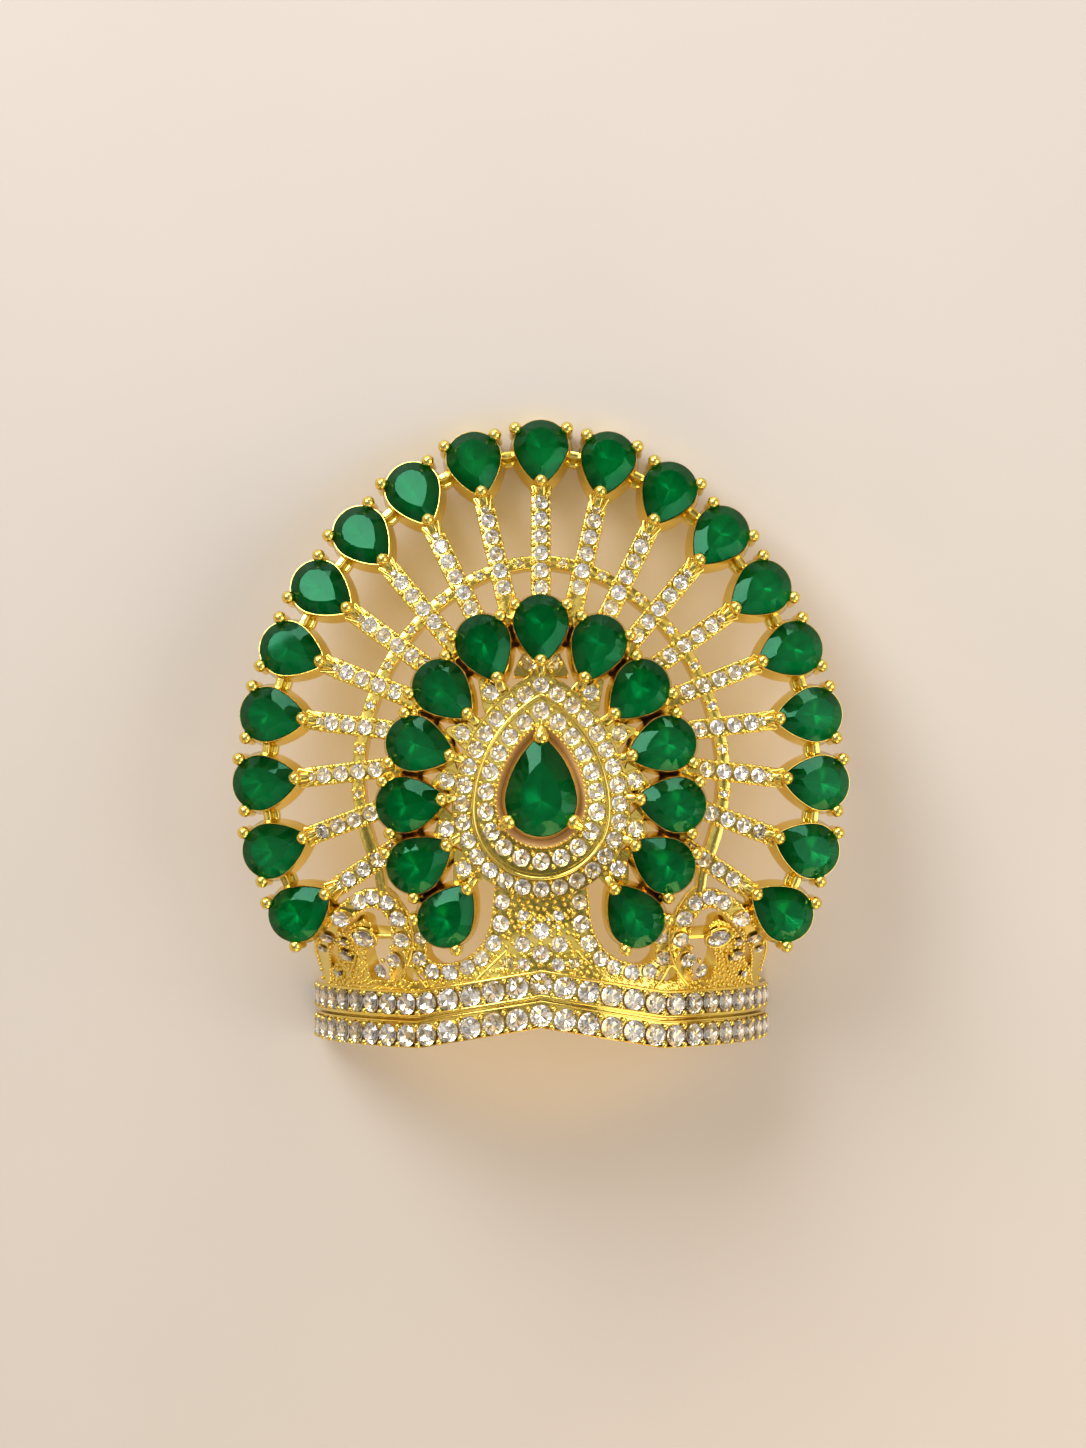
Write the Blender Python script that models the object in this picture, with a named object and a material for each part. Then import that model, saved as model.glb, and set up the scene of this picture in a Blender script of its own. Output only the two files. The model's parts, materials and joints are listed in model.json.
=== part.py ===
"""A deity crown: a fan of pear-cut stones above a half-ring band, lying on its back.

The crown is worked out in its own frame, in metres: u to its right, v up its height and
w out of its front, with the origin where the spokes of the fan point to. Flat work is drawn
in u and v and bent on a curved sheet. An empty then lays the whole crown on its back.
"""

import math
from collections import Counter, namedtuple

import bmesh
import bpy
from mathutils import Matrix, Vector, geometry

# Pear-cut stones of the fan and of the inner row.
STONE_WIDTH = 0.0050
STONE_LENGTH = 0.0065
STONE_SHOULDER = math.radians(20)
STONE_CROWN = 0.0007
STONE_GIRDLE = 0.0002
STONE_PAVILION = 0.0013
STONE_SIDES = 10
PEAR_SIDE_SHARE = 0.22
TABLE_SHARE = 0.56

# Large pear-cut stone in the middle.
CENTRE_STONE_WIDTH = 0.0065
CENTRE_STONE_LENGTH = 0.00925
CENTRE_STONE_SHOULDER = math.radians(10)
CENTRE_STONE_CROWN = 0.0010
CENTRE_STONE_PAVILION = 0.0018
CENTRE_STONE_SIDES = 16
CENTRE_STONE_V = -0.0046

# Settings: a cup round each stone, with three prongs that stand in its wall.
SEAT_GAP = 0.0002
CUP_WALL = 0.00025
CUP_LIP = 0.00025
CUP_FLOOR = 0.0004
POCKET_GAP = 0.0003
PRONG_RADIUS = 0.00042
PRONG_RISE = 0.0009
PRONG_HEAD_SHARE = 0.6
PRONG_LEAN = 0.0003
PRONG_SIDES = 5
PRONG_ANGLE = math.radians(57)
CENTRE_PRONG_RADIUS = 0.0006

# Fan: an oval of stones, one at the end of each spoke.
DOME_RADIUS = 0.1000
DOME_CENTRE_V = -0.0040
OVAL_ROUNDNESS = 1.9
FAN_HALF_WIDTH = 0.02595
FAN_RISE = 0.0311
FAN_DROP = 0.0264
FAN_CENTRE_V = -0.0030
FAN_SPAN = 0.0590
FAN_SPACING = 0.00046
FAN_STONE_LEVEL = 0.0008
PLATE_TOP = 0.0002
PLATE_BACK = -0.0013
SPOKE_WIDTH = 0.0018
RIM_WIDTH = 0.0010
RIM_TOP = -0.0001
RIM_BACK = -0.0017
HOOP_HALF_WIDTH = 0.0169
HOOP_RISE = 0.0200
HOOP_DROP = 0.0190
HOOP_CENTRE_V = -0.0026
HOOP_WIDTH = 0.0012
HOOP_SIDES = 22

# Inner row of pear-cut stones, round the medallion.
ROW_HALF_WIDTH = 0.0124
ROW_RISE = 0.0167
ROW_DROP = 0.0148
ROW_CENTRE_V = -0.0052
ROW_SPAN = 0.0345
ROW_WALL = 0.00024
ROW_STONE_LEVEL = 0.0020
ROW_FOCUS_V = -0.0032
GALLERY_OFFSET = 0.0010
GALLERY_WIDTH = 0.0010
GALLERY_SIDES = 18

# Medallion: two tiers of plate, each a pear outline, round the middle stone.
OPENING_HALF_WIDTH = 0.00405
OPENING_RISE = 0.0071
OPENING_V = -0.0048
TIER_V = -0.0055
UPPER_TIER_HALF_WIDTH = 0.0061
UPPER_TIER_RISE = 0.0104
UPPER_TIER_TOP = 0.0022
LOWER_TIER_HALF_WIDTH = 0.0081
LOWER_TIER_RISE = 0.0128
LOWER_TIER_TOP = 0.0012
TIER_BACK = -0.0010
TIER_SIDES = 24
CENTRE_STONE_LEVEL = 0.0024
BRIDGE_WIDTH = 0.0010
BRIDGE_TOP = 0.0009
BRIDGE_BACK = -0.0005
ACCENT_RADIUS = 0.0010
ACCENT_TOP = 0.0010
ACCENT_DEPTH = 0.0015
ACCENT_REACH = 0.0007
ACCENT_SIDES = 6

# Band: a half ring with two rows of round stones, which dips to a notch in front.
BAND_RADIUS = 0.0214
BAND_WALL = 0.0014
ROUND_SHARE = 0.9
BAND_TOP_V = -0.0225
BAND_HEIGHT = 0.0052
RIDGE_RISE = 0.0004
RIDGE_WIDTH = 0.0005
NOTCH_RISE = 0.0021
NOTCH_REACH = 0.0120
PAVE_RADIUS = 0.00098
PAVE_RISE = 0.0003
PAVE_SINK = 0.0006
PAVE_SIDES = 8
PAVE_SPACING = 0.00029
PAVE_ROW_SPACING = 0.00295
PAVE_TOP_SHARE = 0.7
PAVE_A_SIDE = 14

# Openwork between the band and the fan.
SKIRT_FAN_V = -0.0146
SKIRT_GRID = 0.0036
ARM_WIDTH = 0.0018
CURL_WIDTH = 0.0017
BASE_WIDTH = 0.0014
BASE_LIFT = 0.00035
BASE_HALF_LENGTH = 0.0165
BASE_STEPS = 6
STRUT_WIDTH = 0.0009
PIN_WIDTH = 0.0005

# The openwork's curves on the right side. Across is a share of the band's radius, and down
# is a share of the height from the medallion's foot to the band.
ARM = (
    (0.160, -0.08), (0.170, 0.15), (0.178, 0.30), (0.206, 0.48), (0.257, 0.64), (0.318, 0.74),
    (0.390, 0.79), (0.465, 0.78), (0.523, 0.66), (0.530, 0.45), (0.520, 0.24),
)
CURL = (
    (0.625, 0.93), (0.612, 0.66), (0.602, 0.44), (0.618, 0.22), (0.666, 0.06), (0.727, 0.01),
    (0.785, 0.05), (0.865, 0.21), (0.930, 0.42), (0.955, 0.58), (0.950, 0.80), (0.945, 1.03),
)
LOBE = (
    (0.728, 0.42), (0.740, 0.26), (0.790, 0.25), (0.850, 0.38), (0.915, 0.60), (0.920, 1.02),
    (0.820, 1.05), (0.720, 1.02), (0.745, 0.80), (0.770, 0.62),
)
PANEL = (
    (0.0, -0.10), (0.160, -0.06), (0.160, 0.22), (0.190, 0.46), (0.262, 0.70), (0.345, 0.84),
    (0.345, 0.97), (0.170, 0.88),
)
STRUT = ((0.704, -0.33), (0.680, 0.06))
PIN = ((0.605, 0.41), (0.745, 0.41))

GOLD = (0.80, 0.52, 0.10, 1.0)
GREEN = (0.0, 0.20, 0.07, 1.0)

CURVE_STEPS = 600
ROUNDING = 1e-9
WELD = 1e-6
Stone = namedtuple("Stone", "width length shoulder crown pavilion sides prong_radius")
SMALL = Stone(
    STONE_WIDTH, STONE_LENGTH, STONE_SHOULDER, STONE_CROWN, STONE_PAVILION, STONE_SIDES, PRONG_RADIUS
)
LARGE = Stone(
    CENTRE_STONE_WIDTH, CENTRE_STONE_LENGTH, CENTRE_STONE_SHOULDER, CENTRE_STONE_CROWN,
    CENTRE_STONE_PAVILION, CENTRE_STONE_SIDES, CENTRE_PRONG_RADIUS,
)


# Curves in u and v

def pear(half_width, rise, sides, shoulder=0.0, offset=0.0, centre_v=0.0):
    """Points of a pear outline: a round end below, and two flatter arcs that meet in a tip above.

    The flatter arcs begin at the shoulder's angle above the widest place.
    """
    lift = math.sin(shoulder)
    side_radius = (rise**2 + half_width**2 - 2 * rise * half_width * lift) / 2 / (half_width - rise * lift)
    centre = Vector((math.cos(shoulder), lift)) * (side_radius - half_width)
    tip_angle = math.acos(centre.x / (side_radius + offset))
    side_steps = round(sides * PEAR_SIDE_SHARE)
    round_steps = sides - 2 * side_steps
    points = []
    for step in range(round_steps):
        angle = math.pi - shoulder + (math.pi + 2 * shoulder) * step / round_steps
        reach = half_width + offset
        points.append((reach * math.cos(angle), reach * math.sin(angle)))
    for step in range(-side_steps, side_steps):
        angle = shoulder + (tip_angle - shoulder) * (1 - abs(step) / side_steps)
        side = 1 if step < 0 else -1
        across = (side_radius + offset) * math.cos(angle) - centre.x
        points.append((side * across, (side_radius + offset) * math.sin(angle) - centre.y))
    return [(x, centre_v + y) for x, y in points]


def half_pear(half_width, rise, centre_v):
    """The right half of a pear outline, from its tip down to its foot."""
    outline = pear(half_width, rise, CURVE_STEPS, centre_v=centre_v)
    right = [point for point in outline if point[0] > -ROUNDING]
    return right[::-1]


def half_oval(half_width, rise, drop, centre_v):
    """The right half of an oval with slim shoulders, from its top down to its foot."""
    power = 2 / OVAL_ROUNDNESS
    points = []
    for step in range(CURVE_STEPS + 1):
        across, up = math.sin(math.pi * step / CURVE_STEPS), math.cos(math.pi * step / CURVE_STEPS)
        reach = rise if up > 0 else -drop
        points.append((half_width * abs(across) ** power, centre_v + reach * abs(up) ** power))
    return points


def along(points, distance):
    """The point at this distance along a curve."""
    for start, end in zip(points, points[1:]):
        step = math.dist(start, end)
        if distance <= step:
            return tuple(Vector(start).lerp(Vector(end), distance / step))
        distance -= step
    return points[-1]


def length_to(points, last_v):
    """The length of a curve from its top until it falls below last_v."""
    above = [point for point in points if point[1] >= last_v]
    return sum(math.dist(start, end) for start, end in zip(above, above[1:]))


def both_sides(right):
    """Points of the right side with those of the left before them, where the first is on the middle."""
    return [*((-u, v) for u, v in reversed(right[1:])), *right]


def flipped(points):
    """The same points on the other side of the crown."""
    return [(-u, v) for u, v in points]


def over_the_top(half, length, sides):
    """An open curve over the top of the crown, this long on each side."""
    steps = sides // 2
    return both_sides([along(half, length * step / steps) for step in range(steps + 1)])


def nearest_on(half, point):
    """The point of a mirrored curve that lies nearest to another one."""
    curve = half if point[0] >= 0 else flipped(half)
    return min(curve, key=lambda other: math.dist(other, point))


def toward(start, end, distance):
    """The point at this distance from one point towards another."""
    return tuple(Vector(start) + (Vector(end) - Vector(start)).normalized() * distance)


def ribbon(points, width):
    """The outline of a strip of this width along an open curve."""
    left, right = [], []
    for index, point in enumerate(points):
        run = Vector(points[min(index + 1, len(points) - 1)]) - Vector(points[max(index - 1, 0)])
        across = Vector((-run.y, run.x)).normalized() * width / 2
        left.append(tuple(Vector(point) + across))
        right.append(tuple(Vector(point) - across))
    return [*left, *reversed(right)]


# The curved sheets that flat work is bent on

def dome_depth(u, v):
    """How far the fan's face falls back from its highest point."""
    return (u**2 + (v - DOME_CENTRE_V) ** 2) / (2 * DOME_RADIUS)


def round_depth(u):
    """How far the band's face falls back. Past ROUND_SHARE of its radius it goes on straight."""
    reach = min(abs(u), ROUND_SHARE * BAND_RADIUS)
    height = math.sqrt(BAND_RADIUS**2 - reach**2)
    return BAND_RADIUS - height + (abs(u) - reach) * reach / height


def skirt_depth(u, v):
    """The openwork's face, which runs from the fan's dome to the band's round face."""
    share = min(1.0, max(0.0, (SKIRT_FAN_V - v) / (SKIRT_FAN_V - BAND_TOP_V)))
    share = share**2 * (3 - 2 * share)
    return (1 - share) * dome_depth(u, v) + share * round_depth(u)


def seat(place, level, depth=dome_depth, focus=None):
    """The frame of a point above a sheet: Z along its normal and Y towards the focus."""
    u, v = place
    small = 1e-5
    slope_u = (depth(u + small, v) - depth(u - small, v)) / (2 * small)
    slope_v = (depth(u, v + small) - depth(u, v - small)) / (2 * small)
    up = Vector((slope_u, slope_v, 1)).normalized()
    heading = Vector((0, 1, 0)) if focus is None else Vector((focus[0] - u, focus[1] - v, 0))
    across = heading.cross(up).normalized()
    turn = Matrix((across, up.cross(across), up)).transposed().to_4x4()
    return Matrix.Translation(Vector((u, v, -depth(u, v))) + up * level) @ turn


# Meshes

def mesh_from(bm, name):
    """A mesh from a bmesh, with its normals pointing out."""
    bmesh.ops.recalc_face_normals(bm, faces=bm.faces)
    mesh = bpy.data.meshes.new(name)
    bm.to_mesh(mesh)
    bm.free()
    return mesh


def flat_mesh(name, outlines, top, back):
    """Flat outlines given thickness. An outline that lies inside another one is a hole."""
    curve = bpy.data.curves.new(name, "CURVE")
    curve.dimensions = "2D"
    curve.fill_mode = "BOTH"
    curve.extrude = (top - back) / 2
    for outline in outlines:
        spline = curve.splines.new("POLY")
        spline.points.add(len(outline) - 1)
        spline.use_cyclic_u = True
        for point, (u, v) in zip(spline.points, outline):
            point.co = (u, v, 0, 1)
    holder = bpy.data.objects.new(name, curve)
    bpy.context.scene.collection.objects.link(holder)
    graph = bpy.context.evaluated_depsgraph_get()
    mesh = bpy.data.meshes.new_from_object(holder.evaluated_get(graph))
    bpy.data.objects.remove(holder)
    bm = bmesh.new()
    bm.from_mesh(mesh)
    bmesh.ops.remove_doubles(bm, verts=bm.verts, dist=WELD)
    bmesh.ops.translate(bm, verts=bm.verts, vec=(0, 0, (top + back) / 2))
    return mesh_from(bm, name)


def bent(mesh, depth=dome_depth):
    """A flat mesh bent on a sheet: its Z becomes the height above the sheet."""
    for vertex in mesh.vertices:
        u, v, level = vertex.co
        vertex.co = seat((u, v), level, depth).translation
    return mesh


def covers(outline, point):
    """Whether a point lies inside an outline."""
    inside = False
    for (u0, v0), (u1, v1) in zip(outline, [*outline[1:], outline[0]]):
        if (v0 > point[1]) != (v1 > point[1]):
            crossing = u0 + (point[1] - v0) / (v1 - v0) * (u1 - u0)
            inside ^= point[0] < crossing
    return inside


def triangles_under(outlines, points, edges, faces):
    """The points and triangles of the region that the outlines cover, through these edges."""
    corners, _, cells, *_ = geometry.delaunay_2d_cdt(points, edges, faces, 1, 1e-7)
    kept = []
    for cell in cells:
        middle = sum((corners[index] for index in cell), Vector((0, 0))) / len(cell)
        if any(covers(outline, middle) for outline in outlines):
            kept.append(cell)
    return corners, kept


def merged_plate(name, outlines, guides, top, back):
    """Flat outlines that overlap, as one plate. Guides are points that its faces also meet at."""
    points, faces = [], []
    for outline in outlines:
        area = sum(a[0] * b[1] - b[0] * a[1] for a, b in zip(outline, [*outline[1:], outline[0]]))
        faces.append(range(len(points), len(points) + len(outline)))
        points.extend(Vector(point) for point in (outline if area > 0 else reversed(outline)))
    corners, cells = triangles_under(outlines, points, [], faces)
    sides = Counter(tuple(sorted(side)) for a, b, c in cells for side in ((a, b), (b, c), (c, a)))
    border = [side for side, count in sides.items() if count == 1]
    used = sorted({index for side in border for index in side})
    number = {index: place for place, index in enumerate(used)}
    edges = [(number[a], number[b]) for a, b in border]
    points = [corners[index] for index in used] + [Vector(guide) for guide in guides]
    corners, cells = triangles_under(outlines, points, edges, [])
    bm = bmesh.new()
    vertices = [bm.verts.new((u, v, back)) for u, v in corners]
    plate = [bm.faces.new([vertices[index] for index in cell]) for cell in cells]
    raised = bmesh.ops.extrude_face_region(bm, geom=plate, use_keep_orig=True)["geom"]
    for item in raised:
        if isinstance(item, bmesh.types.BMVert):
            item.co.z = top
    loose = [vertex for vertex in bm.verts if not vertex.link_faces]
    bmesh.ops.delete(bm, geom=loose, context="VERTS")
    return mesh_from(bm, name)


def loft(name, rings, tip=None):
    """A closed shape through rings of points, from a flat cap to a flat cap or to a tip."""
    bm = bmesh.new()
    rows = [[bm.verts.new(point) for point in ring] for ring in rings]
    bm.faces.new(rows[0])
    for lower, upper in zip(rows, rows[1:]):
        for index in range(len(lower)):
            bm.faces.new((lower[index - 1], lower[index], upper[index], upper[index - 1]))
    if tip is None:
        bm.faces.new(rows[-1])
    else:
        point = bm.verts.new(tip)
        for index in range(len(rows[-1])):
            bm.faces.new((rows[-1][index - 1], rows[-1][index], point))
    return mesh_from(bm, name)


def post(name, radius, foot, top, sides, taper=1.0):
    """A round post with flat ends."""
    bm = bmesh.new()
    bmesh.ops.create_cone(
        bm, cap_ends=True, segments=sides, radius1=radius, radius2=radius * taper, depth=top - foot
    )
    bmesh.ops.translate(bm, verts=bm.verts, vec=(0, 0, (top + foot) / 2))
    return mesh_from(bm, name)


def prong(name, radius, foot, top, lean):
    """A round post with a pointed head that leans along Y."""
    head = PRONG_HEAD_SHARE * radius
    bm = bmesh.new()
    bm.from_mesh(post(name, radius, foot, top - head, PRONG_SIDES))
    cap = max(bm.faces, key=lambda face: face.calc_center_median().z)
    bmesh.ops.poke(bm, faces=[cap])["verts"][0].co += Vector((0, lean, head))
    return mesh_from(bm, name)


def joined(name, placed):
    """One mesh from several, each with its own place."""
    bm = bmesh.new()
    for mesh, place in placed:
        copy = mesh.copy()
        copy.transform(place)
        bm.from_mesh(copy)
        bpy.data.meshes.remove(copy)
    return mesh_from(bm, name)


def union(name, base, operands, helpers):
    """The base mesh with the others soldered to it, one after another."""
    whole = bpy.data.objects.new(name, base)
    helpers.objects.link(whole)
    for mesh in operands:
        helper = bpy.data.objects.new(mesh.name, mesh)
        helper.hide_render = True
        helper.display_type = "WIRE"
        helpers.objects.link(helper)
        solder = whole.modifiers.new(mesh.name, "BOOLEAN")
        solder.operation = "UNION"
        solder.object = helper
    graph = bpy.context.evaluated_depsgraph_get()
    mesh = bpy.data.meshes.new_from_object(whole.evaluated_get(graph))
    for helper in list(helpers.objects):
        bpy.data.objects.remove(helper)
    mesh.name = name
    return mesh


# A stone and its setting, with the tip along Y and the girdle's middle at the origin

def outline_of(stone, offset=0.0):
    """The girdle's outline, or one that runs this far outside it."""
    half_width = stone.width / 2
    return pear(half_width, stone.length - half_width, stone.sides, stone.shoulder, offset)


def cut_stone(name, stone):
    """A pear-cut stone: a table, crown facets, a girdle and pavilion facets to a culet."""
    outline = outline_of(stone)
    half = STONE_GIRDLE / 2
    table = [(x * TABLE_SHARE, y * TABLE_SHARE, half + stone.crown) for x, y in outline]
    upper = [(x, y, half) for x, y in outline]
    lower = [(x, y, -half) for x, y in outline]
    return loft(name, (table, upper, lower), (0, 0, -half - stone.pavilion))


def setting(name, stone, helpers):
    """A cup with a pocket for the pavilion, and three prongs that stand in its wall."""
    wall = outline_of(stone, SEAT_GAP + CUP_WALL)
    mouth = outline_of(stone, SEAT_GAP)
    pocket = -STONE_GIRDLE / 2 - stone.pavilion - POCKET_GAP
    foot = pocket - CUP_FLOOR
    rings = (
        [(x, y, foot) for x, y in wall],
        [(x, y, -CUP_LIP) for x, y in wall],
        [(x, y, -CUP_LIP) for x, y in mouth],
    )
    cup = loft(name, rings, (0, 0, pocket))
    claw = prong("prong", stone.prong_radius, foot + CUP_FLOOR / 2, PRONG_RISE, -PRONG_LEAN)
    half_width = stone.width / 2
    clear = SEAT_GAP + stone.prong_radius
    placed = []
    for angle, reach in (
        (0, stone.length - half_width),
        (math.pi - PRONG_ANGLE, half_width),
        (math.pi + PRONG_ANGLE, half_width),
    ):
        turn = Matrix.Rotation(angle, 4, "Z")
        placed.append((claw, turn @ Matrix.Translation((0, reach + clear, 0))))
    return union(name, cup, [joined("prongs", placed)], helpers)


def fan_seats():
    """Where the fan's stones sit, from left to right."""
    pitch = STONE_WIDTH + 2 * (SEAT_GAP + CUP_WALL) + FAN_SPACING
    half = half_oval(FAN_HALF_WIDTH, FAN_RISE, FAN_DROP, FAN_CENTRE_V)
    return both_sides([along(half, pitch * index) for index in range(int(FAN_SPAN / pitch) + 1)])


def row_seats():
    """Where the inner row's stones sit, from left to right."""
    pitch = STONE_WIDTH + 2 * SEAT_GAP + ROW_WALL
    half = half_oval(ROW_HALF_WIDTH, ROW_RISE, ROW_DROP, ROW_CENTRE_V)
    return both_sides([along(half, pitch * index) for index in range(int(ROW_SPAN / pitch) + 1)])


# The fan's metal

def gallery_curve():
    """The right half of the line that the gallery follows, just outside the inner row."""
    reaches = [reach + GALLERY_OFFSET for reach in (ROW_HALF_WIDTH, ROW_RISE, ROW_DROP)]
    return half_oval(*reaches, ROW_CENTRE_V)


def spokes():
    """The outlines of strips from the fan's stones to the gallery under the inner row."""
    gallery = gallery_curve()
    rise = STONE_LENGTH - STONE_WIDTH / 2
    outlines = []
    for place in fan_seats():
        aim = Vector(place).normalized()
        side = gallery if place[0] >= 0 else flipped(gallery)
        end = max(side, key=lambda point: aim.dot(Vector(point).normalized()))
        outlines.append(ribbon([toward(place, (0, 0), rise), end], SPOKE_WIDTH))
    return outlines


def rim():
    """A short bar between each two stones of the fan."""
    seats = fan_seats()
    reach = STONE_WIDTH / 2
    outlines = [
        ribbon([toward(start, end, reach), toward(end, start, reach)], RIM_WIDTH)
        for start, end in zip(seats, seats[1:])
    ]
    return bent(flat_mesh("rim", outlines, RIM_TOP, RIM_BACK))


def hoop():
    """The outline of the strip that crosses the spokes half way."""
    half = half_oval(HOOP_HALF_WIDTH, HOOP_RISE, HOOP_DROP, HOOP_CENTRE_V)
    last_v = fan_seats()[-1][1] * HOOP_HALF_WIDTH / FAN_HALF_WIDTH
    curve = over_the_top(half, length_to(half, last_v), HOOP_SIDES)
    return ribbon(curve, HOOP_WIDTH)


def gallery():
    """The outline of the hidden strip under the inner row, where the spokes end."""
    half = gallery_curve()
    curve = over_the_top(half, length_to(half, row_seats()[-1][1]), GALLERY_SIDES)
    return ribbon(curve, GALLERY_WIDTH)


# The medallion

def tiers():
    """Two tiers of plate round the opening."""
    hole = pear(OPENING_HALF_WIDTH, OPENING_RISE, TIER_SIDES, centre_v=OPENING_V)
    wider = pear(OPENING_HALF_WIDTH, OPENING_RISE, TIER_SIDES, 0.0, SEAT_GAP, OPENING_V)
    lower = pear(LOWER_TIER_HALF_WIDTH, LOWER_TIER_RISE, TIER_SIDES, centre_v=TIER_V)
    upper = pear(UPPER_TIER_HALF_WIDTH, UPPER_TIER_RISE, TIER_SIDES, centre_v=TIER_V)
    middle = (LOWER_TIER_TOP + TIER_BACK) / 2
    return [
        bent(flat_mesh("lower_tier", [lower, wider], LOWER_TIER_TOP, TIER_BACK)),
        bent(flat_mesh("upper_tier", [upper, hole], UPPER_TIER_TOP, middle)),
    ]


def bridges():
    """A strip from the tip of each stone of the inner row to the medallion."""
    rise = STONE_LENGTH - STONE_WIDTH / 2
    edge = half_pear(LOWER_TIER_HALF_WIDTH - BRIDGE_WIDTH, LOWER_TIER_RISE - BRIDGE_WIDTH, TIER_V)
    outlines = []
    for place in row_seats():
        start = toward(place, (0, ROW_FOCUS_V), rise)
        outlines.append(ribbon([start, nearest_on(edge, start)], BRIDGE_WIDTH))
    return bent(flat_mesh("bridges", outlines, BRIDGE_TOP, BRIDGE_BACK))


def accents():
    """A small round cup on the medallion's edge between each two stones of the inner row."""
    edge = half_pear(LOWER_TIER_HALF_WIDTH + ACCENT_REACH, LOWER_TIER_RISE + ACCENT_REACH, TIER_V)
    cup = post("accent", ACCENT_RADIUS, ACCENT_TOP - ACCENT_DEPTH, ACCENT_TOP, ACCENT_SIDES)
    seats = row_seats()
    placed = []
    for first, second in zip(seats, seats[1:]):
        middle = Vector(first).lerp(Vector(second), 0.5)
        placed.append((cup, seat(nearest_on(edge, middle), 0)))
    return joined("accents", placed)


# The band

def notch(arc):
    """How far the band rises at this distance along it from its front."""
    return NOTCH_RISE * max(0.0, 1 - abs(arc) / NOTCH_REACH)


def pave_angle():
    """The angle of the band that one stone takes up."""
    return (2 * PAVE_RADIUS + PAVE_SPACING) / (BAND_RADIUS + PAVE_RISE)


def band():
    """A half ring turned from a profile with ridges at its top, middle and foot."""
    outer, inner, crest = BAND_RADIUS, BAND_RADIUS - BAND_WALL, BAND_RADIUS + RIDGE_RISE
    foot, middle = BAND_TOP_V - BAND_HEIGHT, BAND_TOP_V - BAND_HEIGHT / 2
    profile = (
        (inner, foot), (crest, foot), (outer, foot + RIDGE_WIDTH), (outer, middle - RIDGE_WIDTH / 2),
        (crest, middle), (outer, middle + RIDGE_WIDTH / 2), (outer, BAND_TOP_V - RIDGE_WIDTH),
        (crest, BAND_TOP_V), (inner, BAND_TOP_V),
    )
    facets = 2 * PAVE_A_SIDE + 1
    bm = bmesh.new()
    axis = Vector((0, 0, -BAND_RADIUS))
    start = [bm.verts.new((0, v, radius - BAND_RADIUS)) for radius, v in profile]
    section = bm.faces.new(start)
    end_angle = facets * pave_angle() / 2
    bmesh.ops.rotate(bm, verts=start, cent=axis, matrix=Matrix.Rotation(-end_angle, 3, "Y"))
    bmesh.ops.spin(bm, geom=[section], cent=axis, axis=(0, 1, 0), angle=2 * end_angle, steps=facets)
    bmesh.ops.remove_doubles(bm, verts=bm.verts, dist=WELD)
    for vertex in bm.verts:
        angle = math.atan2(vertex.co.x, vertex.co.z + BAND_RADIUS)
        vertex.co.y += notch(angle * BAND_RADIUS)
    return mesh_from(bm, "band")


def band_stones():
    """The two rows of round stones, sunk in the band."""
    stone = post(
        "band_stone", PAVE_RADIUS, -PAVE_SINK, PAVE_RISE, PAVE_SIDES, taper=PAVE_TOP_SHARE
    )
    middle = BAND_TOP_V - BAND_HEIGHT / 2
    placed = []
    for v in (middle - PAVE_ROW_SPACING / 2, middle + PAVE_ROW_SPACING / 2):
        for index in range(-PAVE_A_SIDE, PAVE_A_SIDE + 1):
            angle = index * pave_angle()
            turn = Matrix.Rotation(angle, 4, "Y")
            rise = v + notch(angle * BAND_RADIUS)
            face = BAND_RADIUS * math.cos(pave_angle() / 2)
            place = Matrix.Translation((0, rise, -BAND_RADIUS)) @ turn
            placed.append((stone, place @ Matrix.Translation((0, 0, face))))
    return joined("band_stones", placed)


# The openwork between the band and the fan

def skirt_curve(shares):
    """The points of one of the openwork's curves."""
    top = TIER_V - LOWER_TIER_HALF_WIDTH
    return [(across * BAND_RADIUS, top + down * (BAND_TOP_V - top)) for across, down in shares]


def skirt():
    """The outlines of the arms round the lowest stones, the curls and the plate between them."""
    base = []
    for step in range(BASE_STEPS + 1):
        u = BASE_HALF_LENGTH * step / BASE_STEPS
        arc = BAND_RADIUS * math.asin(u / BAND_RADIUS)
        base.append((u, BAND_TOP_V + notch(arc) + BASE_LIFT))
    right = [
        ribbon(skirt_curve(ARM), ARM_WIDTH),
        ribbon(skirt_curve(CURL), CURL_WIDTH),
        ribbon(skirt_curve(STRUT), STRUT_WIDTH),
        ribbon(skirt_curve(PIN), PIN_WIDTH),
        skirt_curve(LOBE),
    ]
    middle = [ribbon(both_sides(base), BASE_WIDTH), both_sides(skirt_curve(PANEL))]
    return [*middle, *right, *map(flipped, right)]


def openwork():
    """The spokes, the strips across them and the skirt as one bent plate."""
    steps = int(BAND_RADIUS / SKIRT_GRID)
    levels = int((SKIRT_FAN_V - BAND_TOP_V) / SKIRT_GRID)
    guides = [
        (across * SKIRT_GRID, SKIRT_FAN_V - down * SKIRT_GRID)
        for across in range(-steps, steps + 1)
        for down in range(levels + 1)
    ]
    outlines = [*skirt(), *spokes(), hoop(), gallery()]
    return bent(merged_plate("openwork", outlines, guides, PLATE_TOP, PLATE_BACK), skirt_depth)


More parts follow.
